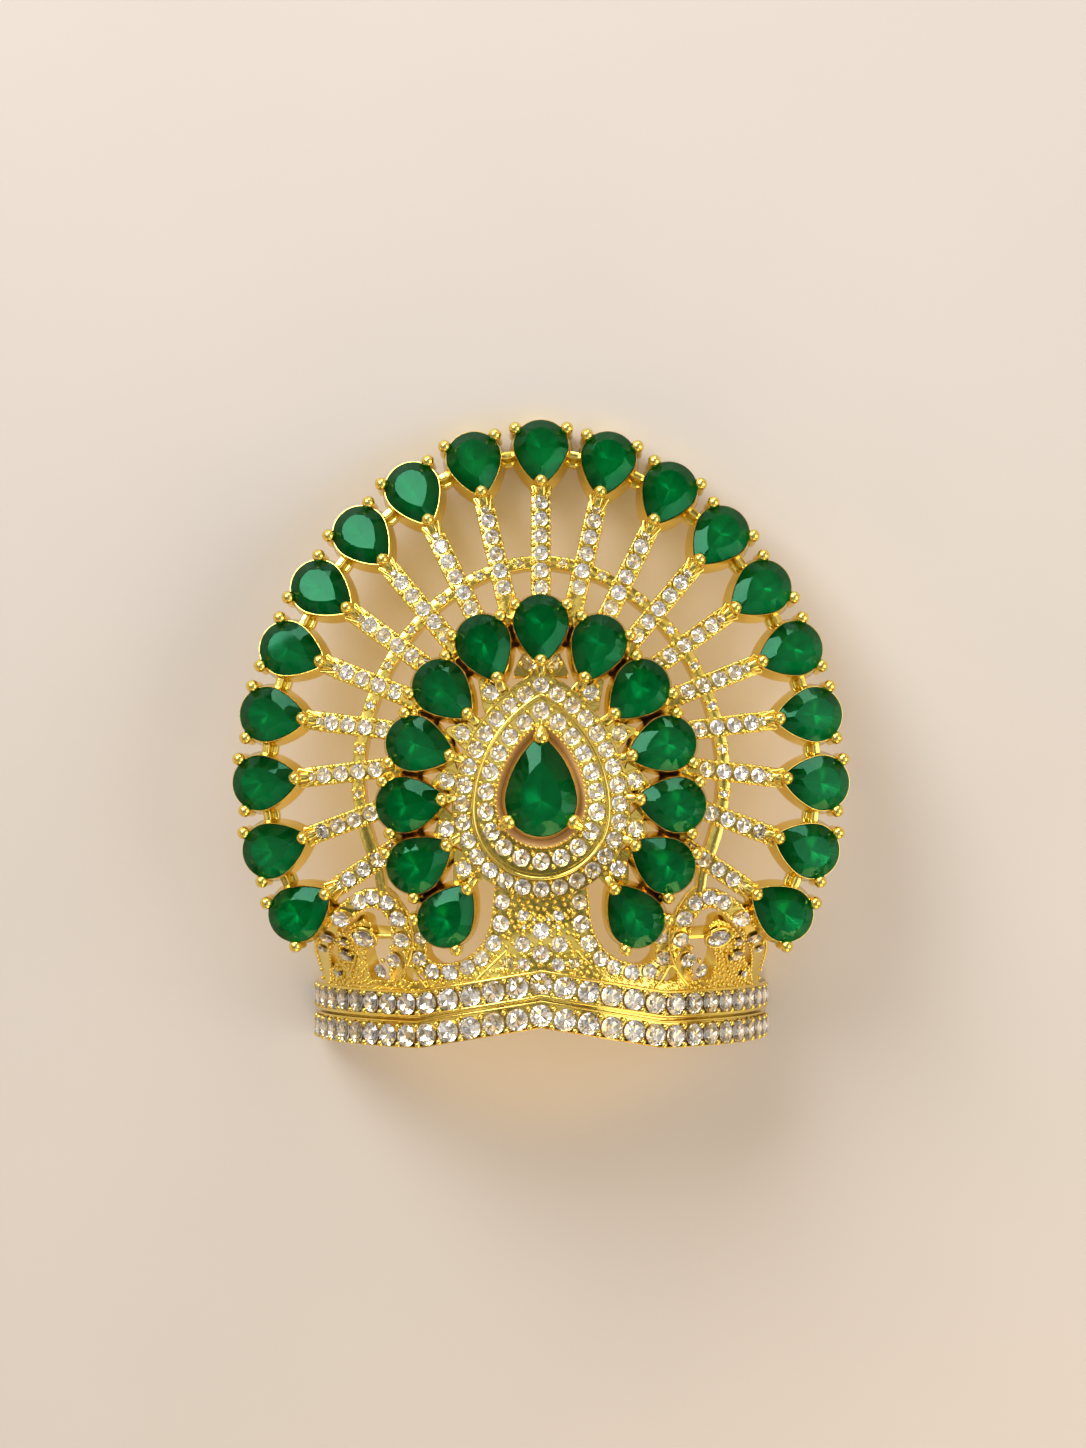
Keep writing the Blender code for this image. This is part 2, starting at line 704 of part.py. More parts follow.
def frame_mesh(helpers):
    """All the soldered metal as one mesh, with the band's stones fused in it."""
    cup = setting("setting", SMALL, helpers)
    middle = setting("middle_setting", LARGE, helpers)
    fan = [(cup, seat(place, FAN_STONE_LEVEL, focus=(0, 0))) for place in fan_seats()]
    row = [(cup, seat(place, ROW_STONE_LEVEL, focus=(0, ROW_FOCUS_V))) for place in row_seats()]
    centre = [(middle, seat((0, CENTRE_STONE_V), CENTRE_STONE_LEVEL))]
    pieces = [
        band_stones(), openwork(), rim(), joined("fan", fan), joined("row_a", row[::2]),
        joined("row_b", row[1::2]), *tiers(), joined("middle", centre), bridges(), accents(),
    ]
    return union("crown_frame", band(), pieces, helpers)


# The objects

def collection(name):
    made = bpy.data.collections.new(name)
    bpy.context.scene.collection.children.link(made)
    return made


def material(name, colour, metallic, roughness):
    made = bpy.data.materials.new(name)
    made.use_nodes = True
    shader = made.node_tree.nodes["Principled BSDF"]
    shader.inputs["Base Color"].default_value = colour
    shader.inputs["Metallic"].default_value = metallic
    shader.inputs["Roughness"].default_value = roughness
    return made


def add_object(name, mesh, place, parent, crown):
    obj = bpy.data.objects.new(name, mesh)
    obj.parent = parent
    obj.matrix_local = place
    crown.objects.link(obj)
    return obj


def resting_slope(points):
    """The slope of the straight edge that touches the crown's back above and below its middle."""
    above = [point for point in points if point[1] > 0]
    below = [point for point in points if point[1] <= 0]
    foot = min(below, key=lambda point: point[2])
    for _ in range(len(points)):
        head = min(above, key=lambda point: (point[2] - foot[2]) / (point[1] - foot[1]))
        slope = (head[2] - foot[2]) / (head[1] - foot[1])
        lower = max(below, key=lambda point: (head[2] - point[2]) / (head[1] - point[1]))
        if lower == foot:
            break
        foot = lower
    return slope


def lay_down(rest, objects):
    """Turns the crown on its back and stands its lowest points on the ground."""
    points = [obj.matrix_local @ vertex.co for obj in objects for vertex in obj.data.vertices]
    lean = Matrix.Rotation(-math.atan(resting_slope([tuple(point) for point in points])), 4, "X")
    turned = [lean @ point for point in points]
    low = Vector([min(point[axis] for point in turned) for axis in range(3)])
    high = Vector([max(point[axis] for point in turned) for axis in range(3)])
    rest.rotation_euler = lean.to_euler()
    rest.location = (-(low.x + high.x) / 2, -(low.y + high.y) / 2, -low.z)


def main():
    for obj in list(bpy.data.objects):
        bpy.data.objects.remove(obj)
    crown = collection("deity_crown")
    helpers = collection("helpers")
    gold = material("gold", GOLD, 1.0, 0.25)
    green = material("green_stone", GREEN, 0.0, 0.08)
    rest = bpy.data.objects.new("rest", None)
    crown.objects.link(rest)
    frame = frame_mesh(helpers)
    frame.materials.append(gold)
    objects = [add_object("crown_frame", frame, Matrix(), rest, crown)]
    stone = cut_stone("pear_stone", SMALL)
    large = cut_stone("large_stone", LARGE)
    stone.materials.append(green)
    large.materials.append(green)
    middle = seat((0, CENTRE_STONE_V), CENTRE_STONE_LEVEL)
    objects.append(add_object("centre_stone", large, middle, rest, crown))
    for number, place in enumerate(fan_seats(), start=1):
        spot = seat(place, FAN_STONE_LEVEL, focus=(0, 0))
        objects.append(add_object(f"outer_stone_{number:02d}", stone, spot, rest, crown))
    for number, place in enumerate(row_seats(), start=1):
        spot = seat(place, ROW_STONE_LEVEL, focus=(0, ROW_FOCUS_V))
        objects.append(add_object(f"inner_stone_{number:02d}", stone, spot, rest, crown))
    lay_down(rest, objects)


main()
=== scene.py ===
"""The looks of a deity crown: gold, green pear stones and clear round stones, on a pale floor.

Everything is drawn in the crown's own frame, in metres: u to its right, v up its height and
w out of its front, with the origin where the spokes of the fan point to. Each finished mesh
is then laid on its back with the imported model.
"""

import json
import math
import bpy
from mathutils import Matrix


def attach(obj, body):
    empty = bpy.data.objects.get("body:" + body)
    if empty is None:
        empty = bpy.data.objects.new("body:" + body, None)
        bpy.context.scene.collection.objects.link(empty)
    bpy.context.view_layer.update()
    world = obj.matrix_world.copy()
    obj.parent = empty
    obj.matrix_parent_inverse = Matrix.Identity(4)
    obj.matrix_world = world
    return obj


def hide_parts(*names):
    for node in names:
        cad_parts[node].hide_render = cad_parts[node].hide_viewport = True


bl_info = {
    "name": "Deity Crown",
    "version": (1, 0, 0),
    "blender": (4, 5, 0),
    "location": "3D Viewport > Sidebar > Crown",
    "description": "Dresses the packed crown in gold, green pear stones and clear round stones",
    "category": "Object",
}

import bmesh
import bpy
from bpy.props import FloatProperty, FloatVectorProperty, PointerProperty
from mathutils import Matrix, Vector

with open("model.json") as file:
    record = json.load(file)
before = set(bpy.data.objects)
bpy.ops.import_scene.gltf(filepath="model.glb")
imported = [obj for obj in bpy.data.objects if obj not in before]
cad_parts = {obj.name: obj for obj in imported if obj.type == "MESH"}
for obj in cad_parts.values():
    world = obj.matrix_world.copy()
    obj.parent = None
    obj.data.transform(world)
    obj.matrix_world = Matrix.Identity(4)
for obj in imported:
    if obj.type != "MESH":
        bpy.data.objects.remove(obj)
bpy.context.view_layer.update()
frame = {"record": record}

METAL = "crown_frame"
BODY = "root"

# Pear stones and their settings.
PEAR_SHOULDER = math.radians(20)
CENTRE_SHOULDER = math.radians(10)
PEAR_SIDE_SHARE = 0.3
CROWN_HEIGHT = 0.0007
GIRDLE_HEIGHT = 0.0002
PAVILION_DEPTH = 0.0013
CENTRE_CROWN_HEIGHT = 0.0010
CENTRE_PAVILION_DEPTH = 0.0018
CENTRE_STONE_V = -0.0046
CENTRE_COLLAR_HALF_WIDTH = 0.0036
CENTRE_COLLAR_RISE = 0.0066
COLLAR_REACH = 0.00045
COLLAR_DEPTH = 0.0020
CENTRE_COLLAR_DEPTH = 0.0026
COLLAR_SIDES = 64
CUP_FLOOR = 0.0004
CLAW_ANGLE = math.radians(57)
CLAW_SIDES = 12
CLAW_NECK_LEVEL = -0.0002
CLAW_BALL_LEVEL = 0.00032
CLAW_BEND = 0.7

# How far outside the stone's outline the side claws and the tip claw rise, and their balls lie.
CLAW_OUTSETS = (0.0002, 0.00025)
SMALL_BALL_OUTSETS = (0.00037, -0.00040)
CENTRE_BALL_OUTSETS = (0.00030, -0.00020)

# A claw in shares of its ball's radius: its stem, how far outside its outset its root and its
# neck stand, and the base and the middle of its tail.
CLAW_STEM_SHARE = 0.72
CLAW_ROOT_SHARE = 0.55
CLAW_NECK_SHARE = 0.35
TAIL_SHARES = (0.92, 0.62)

# The tail of the middle stone's claws: its length, the share of it at its middle, and how far
# its end drops.
CLAW_TAIL = 0.0018
TAIL_MIDDLE = 0.45
TAIL_DROP = 0.0003

# Cut of a pear stone: the sizes of its table and star points, in shares of its outline, and the
# height of the star points in the crown.
TABLE_SHARE = 0.60
STAR_SHARE = 0.80
STAR_RISE_SHARE = 0.52
SMALL_PEAR_SIDES = 14
LARGE_PEAR_SIDES = 18

# A collar above its foot: how far outside the stone's outline, and the level.
COLLAR_PROFILE = (
    (COLLAR_REACH, -0.0015), (0.00020, -0.0006), (0.00013, -0.00012), (0.00010, -0.00004),
    (0.00006, -0.00004), (0.00002, -0.00010), (0.00002, -0.0006),
)

# Cut of a round stone, in shares of its radius.
ROUND_SIDES = 8
ROUND_TABLE = 0.56
ROUND_STARS = 0.78
ROUND_EDGE = 0.05
ROUND_CROWN = 0.27
ROUND_STAR_RISE = 0.14
ROUND_PAVILION = 0.25

# Round stones of many sizes are copies of one with this radius, raised by this share of theirs.
UNIT_RADIUS = 0.001
STONE_LIFT_SHARE = 0.3

# The sheet that the fan and the medallion are bent on.
DOME_RADIUS = 0.1000
DOME_CENTRE_V = -0.0040
OVAL_ROUNDNESS = 1.9

# Fan: an oval of pear stones, one at the end of each spoke.
FAN_HALF_WIDTH = 0.02595
FAN_RISE = 0.0311
FAN_DROP = 0.0264
FAN_CENTRE_V = -0.0030
FAN_PITCH = 0.00636
FAN_A_SIDE = 9
FAN_STONE_LEVEL = 0.0008
PLATE_TOP = 0.0002
PLATE_BACK = -0.0013
SPOKE_WIDTH = 0.0018
RIM_WIDTH = 0.0007
RIM_TOP = -0.0001
RIM_BACK = -0.0016
RIM_LEDGE = 0.0006
RIM_LEDGE_TOP = -0.0009
HOOP_HALF_WIDTH = 0.0169
HOOP_RISE = 0.0200
HOOP_DROP = 0.0190
HOOP_CENTRE_V = -0.0026
HOOP_WIDTH = 0.0012
HOOP_STEPS = 40
SPOKE_STEPS = 12
SPOKE_OVERLAP = 0.0004

# Inner row of pear stones, round the medallion.
ROW_HALF_WIDTH = 0.0124
ROW_RISE = 0.0167
ROW_DROP = 0.0148
ROW_CENTRE_V = -0.0052
ROW_PITCH = 0.00564
ROW_A_SIDE = 6
ROW_STONE_LEVEL = 0.0020
ROW_FOCUS_V = -0.0032
GALLERY_OFFSET = 0.0010
GALLERY_WIDTH = 0.0010

# Medallion: two tiers of plate round the middle stone.
OPENING_HALF_WIDTH = 0.00405
OPENING_RISE = 0.0071
OPENING_V = -0.0048
TIER_V = -0.0055
UPPER_TIER_HALF_WIDTH = 0.0061
UPPER_TIER_RISE = 0.0104
UPPER_TIER_TOP = 0.0022
LOWER_TIER_HALF_WIDTH = 0.0081
LOWER_TIER_RISE = 0.0128
LOWER_TIER_TOP = 0.0012
TIER_BACK = -0.0010
CENTRE_STONE_LEVEL = 0.0024
BRIDGE_WIDTH = 0.0010
BRIDGE_TOP = 0.0009
BRIDGE_BACK = -0.0005
ACCENT_RADIUS = 0.0010
ACCENT_TOP = 0.0010
ACCENT_DEPTH = 0.0015
ACCENT_PLATE = (
    (0.0002, -0.0016), (0.0016, 0.0007), (0.0016, 0.0012), (-0.0016, 0.0012), (-0.0016, 0.0007),
    (-0.0002, -0.0016),
)
ACCENT_HALF_WIDTH = 0.0088
ACCENT_RISE = 0.0140

# Shares of the outlines of an accent's cup and plate, and their levels.
ACCENT_CUP_RINGS = ((0.8, -ACCENT_DEPTH), (0.96, -0.0004), (1.0, -0.0001), (0.96, 0.0))
ACCENT_PLATE_RINGS = ((1.0, -ACCENT_DEPTH), (1.0, -0.0003), (0.95, -0.00022))

# Round stones of the spokes, from the top spoke down one side: the distance from the pear
# stone to the first one, and their number.
SPOKE_STONES = (
    (0.00515, 6), (0.00595, 5), (0.00595, 5), (0.00595, 5), (0.00595, 5), (0.00595, 4),
    (0.00595, 4), (0.00595, 4), (0.00515, 5), (0.00590, 4),
)
SPOKE_STONE_LEVEL = 0.00040
SPOKE_BEAD_LEVEL = 0.00035
SPOKE_BEAD_SPREAD = 0.00074
SPOKE_TIP = 0.00485
SPOKE_TIP_STONE = 0.00042
SHOULDER = ((-0.0003, 0.00082), (0.0010, 0.00040))
SHOULDER_WIRE = 0.00018
HOOP_STONE = 0.00043
BEAD_LIFT = 0.00015
BEAD_GAP = 0.00008
LINE_BEAD_SHARE = 0.85
EDGE_BEAD = 0.00019
EDGE_BEAD_INSET = EDGE_BEAD * 0.6
EDGE_PITCH = 0.00055
SPOKE_EDGE_START = 0.0016

# The medallion's two halos: half width, rise and middle of each line of stones, their number
# and radius, and their level.
HALOS = (
    ("inner_halo", (0.00503, 0.0085, -0.00506), 20, 0.00083, 0.0021),
    ("outer_halo", (0.0072, 0.0114, -0.00552), 30, 0.00078, 0.0011),
)
HALO_BEAD_SPREAD = 0.00062
RIDGE_WIRE = 0.00016
OPENING_BEAD = EDGE_BEAD * 0.8
OPENING_BEADS = 64
ACCENT_STONE = 0.00074

# How bright the studio is at each height of the sky, from the horizon to straight above.
SKY = ((0.0, 1.0), (0.3, 0.65), (0.6, 0.50), (0.85, 0.60), (0.94, 0.50), (1.0, 0.15))

# The soft lights: place in the crown's frame, size, setting with the power, and colour.
WHITE = (1.0, 1.0, 1.0)
LIGHTS = (
    ("key", (-0.22, 0.27, 0.32), 0.26, "key_power", WHITE),
    ("fill", (0.30, -0.05, 0.22), 0.30, "fill_power", WHITE),
    ("back", (0.05, 0.36, 0.18), 0.16, "fill_power", WHITE),
    ("card", (0.10, -0.30, 0.07), 0.16, "card_power", (1.0, 0.68, 0.30)),
)

# The light that the gold throws on the floor under the crown.
GLOW_V = -0.007
GLOW_HEIGHT = 0.004
GLOW_WIDTH = 0.052
GLOW_LENGTH = 0.068
GLOW_COLOUR = (1.0, 0.60, 0.12)
CAMERA_SPOT = (0.000184, 0.0024)

# Where the main light would leave a pear stone: to the right and down. A painted glint, a lighter green
# painted into a facet of the crown, starts where the facet faces there this much, and is full this much
# further on.
PAINTED_GLINT_SIDE = (0.64, -0.77, 0.0)
PAINTED_GLINT_FROM = 0.15
PAINTED_GLINT_SPAN = 0.2

# The painted glint of the table, and how squarely the table and the facets of the crown face up.
TABLE_PAINTED_GLINT = 0.5
TABLE_FACING = 0.99
CROWN_FACING = 0.2

# Band: a half ring with two rows of round stones, which dips to a notch in front.
BAND_RADIUS = 0.0214
BAND_WALL = 0.0014
BAND_TOP_V = -0.0225
BAND_HEIGHT = 0.0052
ROUND_SHARE = 0.9
NOTCH_RISE = 0.0021
NOTCH_REACH = 0.0120
BAND_PITCH = 0.00225
BAND_STONES = 29
BAND_ROW_SPACING = 0.00295
BAND_END_GAP = 0.0004
BAND_RIDGE = 0.0003
BAND_BEAD_SPREAD = 0.00084
BAND_BEAD_SHARE = 1.2
BAND_STEPS = 120

# The band's profile, from its inner foot round it: how far outside its face, and how high.
BAND_PROFILE = (
    (-BAND_WALL, -BAND_HEIGHT), (0.0002, -BAND_HEIGHT), (BAND_RIDGE, -BAND_HEIGHT + 0.0001),
    (0.0002, -BAND_HEIGHT + 0.0002), (0.0, -BAND_HEIGHT + 0.0003),
    (0.0, -BAND_HEIGHT / 2 - 0.00006), (-0.0005, -BAND_HEIGHT / 2),
    (-0.0005, -BAND_HEIGHT / 2 + 0.00016), (0.0, -BAND_HEIGHT / 2 + 0.00022), (0.0, -0.0001),
    (-0.0001, 0.0), (-BAND_WALL, 0.0),
)

# The wires round the band, with their heights and radii.
BAND_WIRES = (
    ("band_top_wire", 0.00002, 0.00017), ("band_middle_wire", -0.00226, 0.00019),
    ("band_thin_wire", -0.00274, 0.00011),
)

# Openwork between the band and the fan.
SKIRT_FAN_V = -0.0146
ARM_WIDTH = 0.0018
CURL_WIDTH = 0.0017
BASE_WIDTH = 0.0014
BASE_HALF_LENGTH = 0.0165
BASE_LIFT = 0.00035
BASE_STEPS = 24
STRUT_WIDTH = 0.0009
PIN_WIDTH = 0.0005

# The openwork's curves on the right side. Across is a share of the band's radius, and down
# is a share of the height from the medallion's foot to the band.
ARM = (
    (0.160, -0.08), (0.170, 0.15), (0.178, 0.30), (0.206, 0.48), (0.257, 0.64), (0.318, 0.74),
    (0.390, 0.79), (0.465, 0.78), (0.523, 0.66), (0.530, 0.45), (0.520, 0.24),
)
CURL = (
    (0.625, 0.93), (0.612, 0.66), (0.602, 0.44), (0.618, 0.22), (0.666, 0.06), (0.727, 0.01),
    (0.785, 0.05), (0.865, 0.21), (0.930, 0.42), (0.955, 0.58), (0.950, 0.80), (0.945, 1.03),
)
LOBE = (
    (0.728, 0.42), (0.735, 0.27), (0.785, 0.24), (0.850, 0.36), (0.888, 0.50), (0.884, 0.66),
    (0.915, 0.80), (0.920, 1.02), (0.820, 1.05), (0.720, 1.02), (0.745, 0.80), (0.755, 0.62),
)
PANEL = (
    (0.0, -0.10), (0.160, -0.06), (0.160, 0.22), (0.190, 0.46), (0.262, 0.70), (0.345, 0.84),
    (0.345, 0.97), (0.170, 0.88),
)
STRUT = ((0.704, -0.33), (0.680, 0.06))

# The openwork's round stones, placed as its curves are, with their radii in metres.
ARM_STONES = (
    (0.166, 0.04, 0.00072), (0.173, 0.27, 0.00080), (0.204, 0.475, 0.00078),
    (0.255, 0.634, 0.00072), (0.314, 0.726, 0.00072), (0.387, 0.779, 0.00075),
    (0.463, 0.771, 0.00072), (0.521, 0.633, 0.00070), (0.518, 0.415, 0.00060),
)
CURL_STONES = (
    (0.688, 0.773, 0.00070), (0.631, 0.65, 0.00076), (0.601, 0.43, 0.00078),
    (0.618, 0.215, 0.00078), (0.666, 0.055, 0.00070), (0.727, 0.0, 0.00068),
    (0.785, 0.045, 0.00074), (0.865, 0.205, 0.00086), (0.930, 0.41, 0.00076),
    (0.955, 0.55, 0.00050),
)
LOBE_STONES = (
    (0.765, 0.405, 0.00104), (0.846, 0.61, 0.00072), (0.884, 0.83, 0.00054),
    (0.856, 0.46, 0.00054),
)
PANEL_STONES = (
    (0.0, 0.344, 0.00080), (0.0, 0.589, 0.00082), (0.080, 0.485, 0.00078),
    (0.075, 0.185, 0.00055), (0.142, 0.68, 0.00056), (0.073, 0.697, 0.00064),
    (0.073, 0.30, 0.00032), (0.031, 0.215, 0.00032),
)
EYE = (0.765, 0.405)
EYE_WIRE_REACH = 0.00124
EYE_WIRE = 0.00015
EYE_BEAD = (0.824, 0.380)
EYE_BEAD_RADIUS = 0.00032
CURL_WIRE = (
    (0.632, 0.93), (0.586, 0.77), (0.556, 0.57), (0.550, 0.40), (0.562, 0.26), (0.590, 0.10),
    (0.625, -0.03), (0.662, -0.11),
)
TENT_WIRE = ((0.632, 0.93), (0.565, 0.715), (0.525, 0.83), (0.488, 0.95))
LOBE_WIRE = ((0.800, 0.58), (0.812, 0.72), (0.838, 0.87))
PANEL_WIRE = ((0.268, 0.84), (0.150, 0.555), (0.142, 0.82))
PIN = ((0.605, 0.41), (0.745, 0.41))

OPENWORK_WIRE = 0.00014
OPENWORK_WIRE_LIFT = 0.0001
GRAIN = 0.00023
GRAIN_GAP = 0.0002
GRAIN_SPACING = 0.00050
GRAIN_DENSITY = 4e7
GRAIN_SEED = 3

STRIP_ROUNDING = 0.00012
WIRE_SIDES = 10
PLATE_CELL = 0.0008
OUTLINE_STEPS = 120
CURVE_STEPS = 400
TINY = 1e-9
WELD = 1e-6


# Curves in u and v

def pear(half_width, rise, sides, shoulder=0.0, offset=0.0, centre_v=0.0):
    """Points of a pear outline from its tip round to it again, or one this far outside it.

    A round end lies below, and two flatter arcs that begin at the shoulder's angle meet above.
    """
    lift = math.sin(shoulder)
    slack = 2 * rise * half_width * lift
    side_radius = (rise**2 + half_width**2 - slack) / 2 / (half_width - rise * lift)
    centre = Vector((math.cos(shoulder), lift)) * (side_radius - half_width)
    reach = side_radius + offset
    tip_angle = math.acos(centre.x / reach)
    side_steps = max(2, round(sides * PEAR_SIDE_SHARE))
    round_steps = sides - 2 * side_steps
    right = []
    for step in range(side_steps):
        angle = tip_angle + (shoulder - tip_angle) * step / side_steps
        right.append((reach * math.cos(angle) - centre.x, reach * math.sin(angle) - centre.y))
    left = [(-x, y) for x, y in reversed(right[1:])]
    bottom = []
    below = half_width + offset
    for step in range(round_steps + 1):
        angle = shoulder - (math.pi + 2 * shoulder) * step / round_steps
        bottom.append((below * math.cos(angle), below * math.sin(angle)))
    return [(x, centre_v + y) for x, y in (*right, *bottom, *left)]


def half_pear(half_width, rise, centre_v):
    """The right half of a pear outline, from its tip down to its foot."""
    outline = pear(half_width, rise, CURVE_STEPS, centre_v=centre_v)
    return [point for point in outline if point[0] > -TINY]


def half_oval(half_width, rise, drop, centre_v):
    """The right half of an oval with slim shoulders, from its top down to its foot."""
    power = 2 / OVAL_ROUNDNESS
    points = []
    for step in range(CURVE_STEPS + 1):
        across, up = math.sin(math.pi * step / CURVE_STEPS), math.cos(math.pi * step / CURVE_STEPS)
        reach = rise if up > 0 else -drop
        points.append((half_width * abs(across) ** power, centre_v + reach * abs(up) ** power))
    return points


def circle(radius, count, shift=0.0):
    """Points round a circle. The shift is a share of one step."""
    turns = [2 * math.pi * (index + shift) / count for index in range(count)]
    return [(math.cos(turn) * radius, math.sin(turn) * radius) for turn in turns]


def raised(points, level):
    """The same points at this level."""
    return [(x, y, level) for x, y in points]


def length_of(points):
    """How long a curve is."""
    return sum(math.dist(start, end) for start, end in zip(points, points[1:]))


def along(points, distance):
    """The point at this distance along a curve."""
    for start, end in zip(points, points[1:]):
        step = math.dist(start, end)
        if distance <= step:
            return tuple(Vector(start).lerp(Vector(end), distance / step))
        distance -= step
    return points[-1]


def stretch(points, first, last, steps):
    """The part of a curve between two distances along it, in even steps."""
    return [along(points, first + (last - first) * step / steps) for step in range(steps + 1)]


def evenly(outline, count, shift=0.0):
    """Points at even distances round a closed outline. The shift is a share of one step."""
    closed = [*outline, outline[0]]
    step = length_of(closed) / count
    return [along(closed, step * ((index + shift) % count)) for index in range(count)]


def smooth(points, steps=8):
    """A curve that passes smoothly through the points."""
    knots = [Vector(point) for point in points]
    knots = [2 * knots[0] - knots[1], *knots, 2 * knots[-1] - knots[-2]]
    curve = []
    for before, start, end, after in zip(knots, knots[1:], knots[2:], knots[3:]):
        for step in range(steps):
            t = step / steps
            bend = (2 * before - 5 * start + 4 * end - after) * t**2
            bend += (3 * start - before - 3 * end + after) * t**3
            curve.append(tuple(start + ((end - before) * t + bend) / 2))
    return [*curve, tuple(points[-1])]


def both_sides(right):
    """The left side's points before those of the right side, the first of which is on the middle."""
    return [*((-u, v) for u, v in reversed(right[1:])), *right]


def flipped(points):
    """The same points on the other side of the crown."""
    return [(-u, v) for u, v in points]


def nearest_on(half, point):
    """The point of a mirrored curve that lies nearest to another one."""
    curve = half if point[0] >= 0 else flipped(half)
    return min(curve, key=lambda other: math.dist(other, point))


def ahead_on(half, aim):
    """The point of a mirrored curve that lies in this direction from the origin."""
    curve = half if aim.x >= 0 else flipped(half)
    return max(curve, key=lambda point: aim.dot(Vector(point).normalized()))


def toward(start, end, distance):
    """The point at this distance from one point towards another."""
    return tuple(Vector(start) + (Vector(end) - Vector(start)).normalized() * distance)


# The curved sheets

def dome_depth(u, v):
    """How far the fan's face falls back from its highest point."""
    return (u**2 + (v - DOME_CENTRE_V) ** 2) / (2 * DOME_RADIUS)


def round_depth(u):
    """How far the band's face falls back. Past ROUND_SHARE of its radius it goes on straight."""
    reach = min(abs(u), ROUND_SHARE * BAND_RADIUS)
    height = math.sqrt(BAND_RADIUS**2 - reach**2)
    return BAND_RADIUS - height + (abs(u) - reach) * reach / height


def skirt_depth(u, v):
    """The openwork's face, which runs from the fan's dome to the band's round face."""
    share = min(1.0, max(0.0, (SKIRT_FAN_V - v) / (SKIRT_FAN_V - BAND_TOP_V)))
    share = share**2 * (3 - 2 * share)
    return (1 - share) * dome_depth(u, v) + share * round_depth(u)


def seat(place, level, depth=dome_depth, focus=None):
    """The frame of a point above a sheet: Z along its normal and Y towards the focus."""
    u, v = place
    small = 1e-5
    slope_u = (depth(u + small, v) - depth(u - small, v)) / (2 * small)
    slope_v = (depth(u, v + small) - depth(u, v - small)) / (2 * small)
    up = Vector((slope_u, slope_v, 1)).normalized()
    heading = Vector((0, 1, 0)) if focus is None else Vector((focus[0] - u, focus[1] - v, 0))
    across = heading.cross(up).normalized()
    turn = Matrix((across, up.cross(across), up)).transposed().to_4x4()
    return Matrix.Translation(Vector((u, v, -depth(u, v))) + up * level) @ turn


def laid(points, level, depth=dome_depth):
    """The places and up directions of points this high above a sheet."""
    places = [seat(point, level, depth) for point in points]
    return [(place.translation.copy(), place.col[2].xyz) for place in places]


def fan_seats():
    """Where the fan's stones sit, from left to right."""
    half = half_oval(FAN_HALF_WIDTH, FAN_RISE, FAN_DROP, FAN_CENTRE_V)
    return both_sides([along(half, FAN_PITCH * index) for index in range(FAN_A_SIDE + 1)])


def row_seats():
    """Where the inner row's stones sit, from left to right."""
    half = half_oval(ROW_HALF_WIDTH, ROW_RISE, ROW_DROP, ROW_CENTRE_V)
    return both_sides([along(half, ROW_PITCH * index) for index in range(ROW_A_SIDE + 1)])


def rest_place():
    """How the crown lies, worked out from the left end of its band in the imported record."""
    end = next(mount for mount in frame["record"]["mounts"] if mount["name"] == "band_end_left")
    lean = Matrix.Rotation(-math.atan(end["axis"][1] / end["axis"][2]), 4, "X")
    angle = BAND_STONES * BAND_PITCH / (BAND_RADIUS + BAND_RIDGE) / 2
    radius = BAND_RADIUS - BAND_WALL / 2
    own = Vector((
        -radius * math.sin(angle), BAND_TOP_V - BAND_HEIGHT / 2,
        radius * math.cos(angle) - BAND_RADIUS,
    ))
    return Matrix.Translation(Vector(end["pos_m"]) - lean @ own) @ lean


# Node trees

def feed(tree, node, inputs):
    """Sets a node's own inputs, which are given as values or as sockets to link."""
    for name, value in inputs.items():
        if isinstance(value, bpy.types.NodeSocket):
            tree.links.new(value, node.inputs[name])
        else:
            node.inputs[name].default_value = value


def add(tree, kind, inputs=None, **settings):
    """A node with its settings and inputs."""
    node = tree.nodes.new(kind)
    for name, value in settings.items():
        setattr(node, name, value)
    feed(tree, node, inputs or {})
    return node


def calculated(tree, operation, *values):
    """What a math node makes of these values or sockets."""
    return add(tree, "ShaderNodeMath", dict(enumerate(values)), operation=operation).outputs[0]


def geometry_tree(name, sockets):
    """An empty geometry tree with these named inputs, and its input node."""
    tree = bpy.data.node_groups.new(name, "GeometryNodeTree")
    tree.interface.new_socket("Geometry", in_out="INPUT", socket_type="NodeSocketGeometry")
    for label, kind in sockets:
        tree.interface.new_socket(label, in_out="INPUT", socket_type="NodeSocket" + kind)
    tree.interface.new_socket("Geometry", in_out="OUTPUT", socket_type="NodeSocketGeometry")
    return tree, add(tree, "NodeGroupInput").outputs


def end_tree(tree, geometry, material):
    """Ends a tree with plain geometry in one material."""
    real = add(tree, "GeometryNodeRealizeInstances", {"Geometry": geometry})
    dressed = add(
        tree, "GeometryNodeSetMaterial", {"Geometry": real.outputs[0], "Material": material}
    )
    add(tree, "NodeGroupOutput", {"Geometry": dressed.outputs[0]})
    return tree


def attribute(tree, name, kind="FLOAT_VECTOR"):
    """The values that a mesh holds under this name."""
    return add(tree, "GeometryNodeInputNamedAttribute", {"Name": name}, data_type=kind).outputs[0]


def swept(tree, curve, profile):
    """A profile swept along a curve, with the profile's X on the path's up direction."""
    turned = add(
        tree, "GeometryNodeSetCurveNormal", {"Curve": curve, "Normal": attribute(tree, "up")},
        mode="FREE",
    )
    return add(
        tree, "GeometryNodeCurveToMesh",
        {"Curve": turned.outputs[0], "Profile Curve": profile, "Fill Caps": True},
    ).outputs[0]


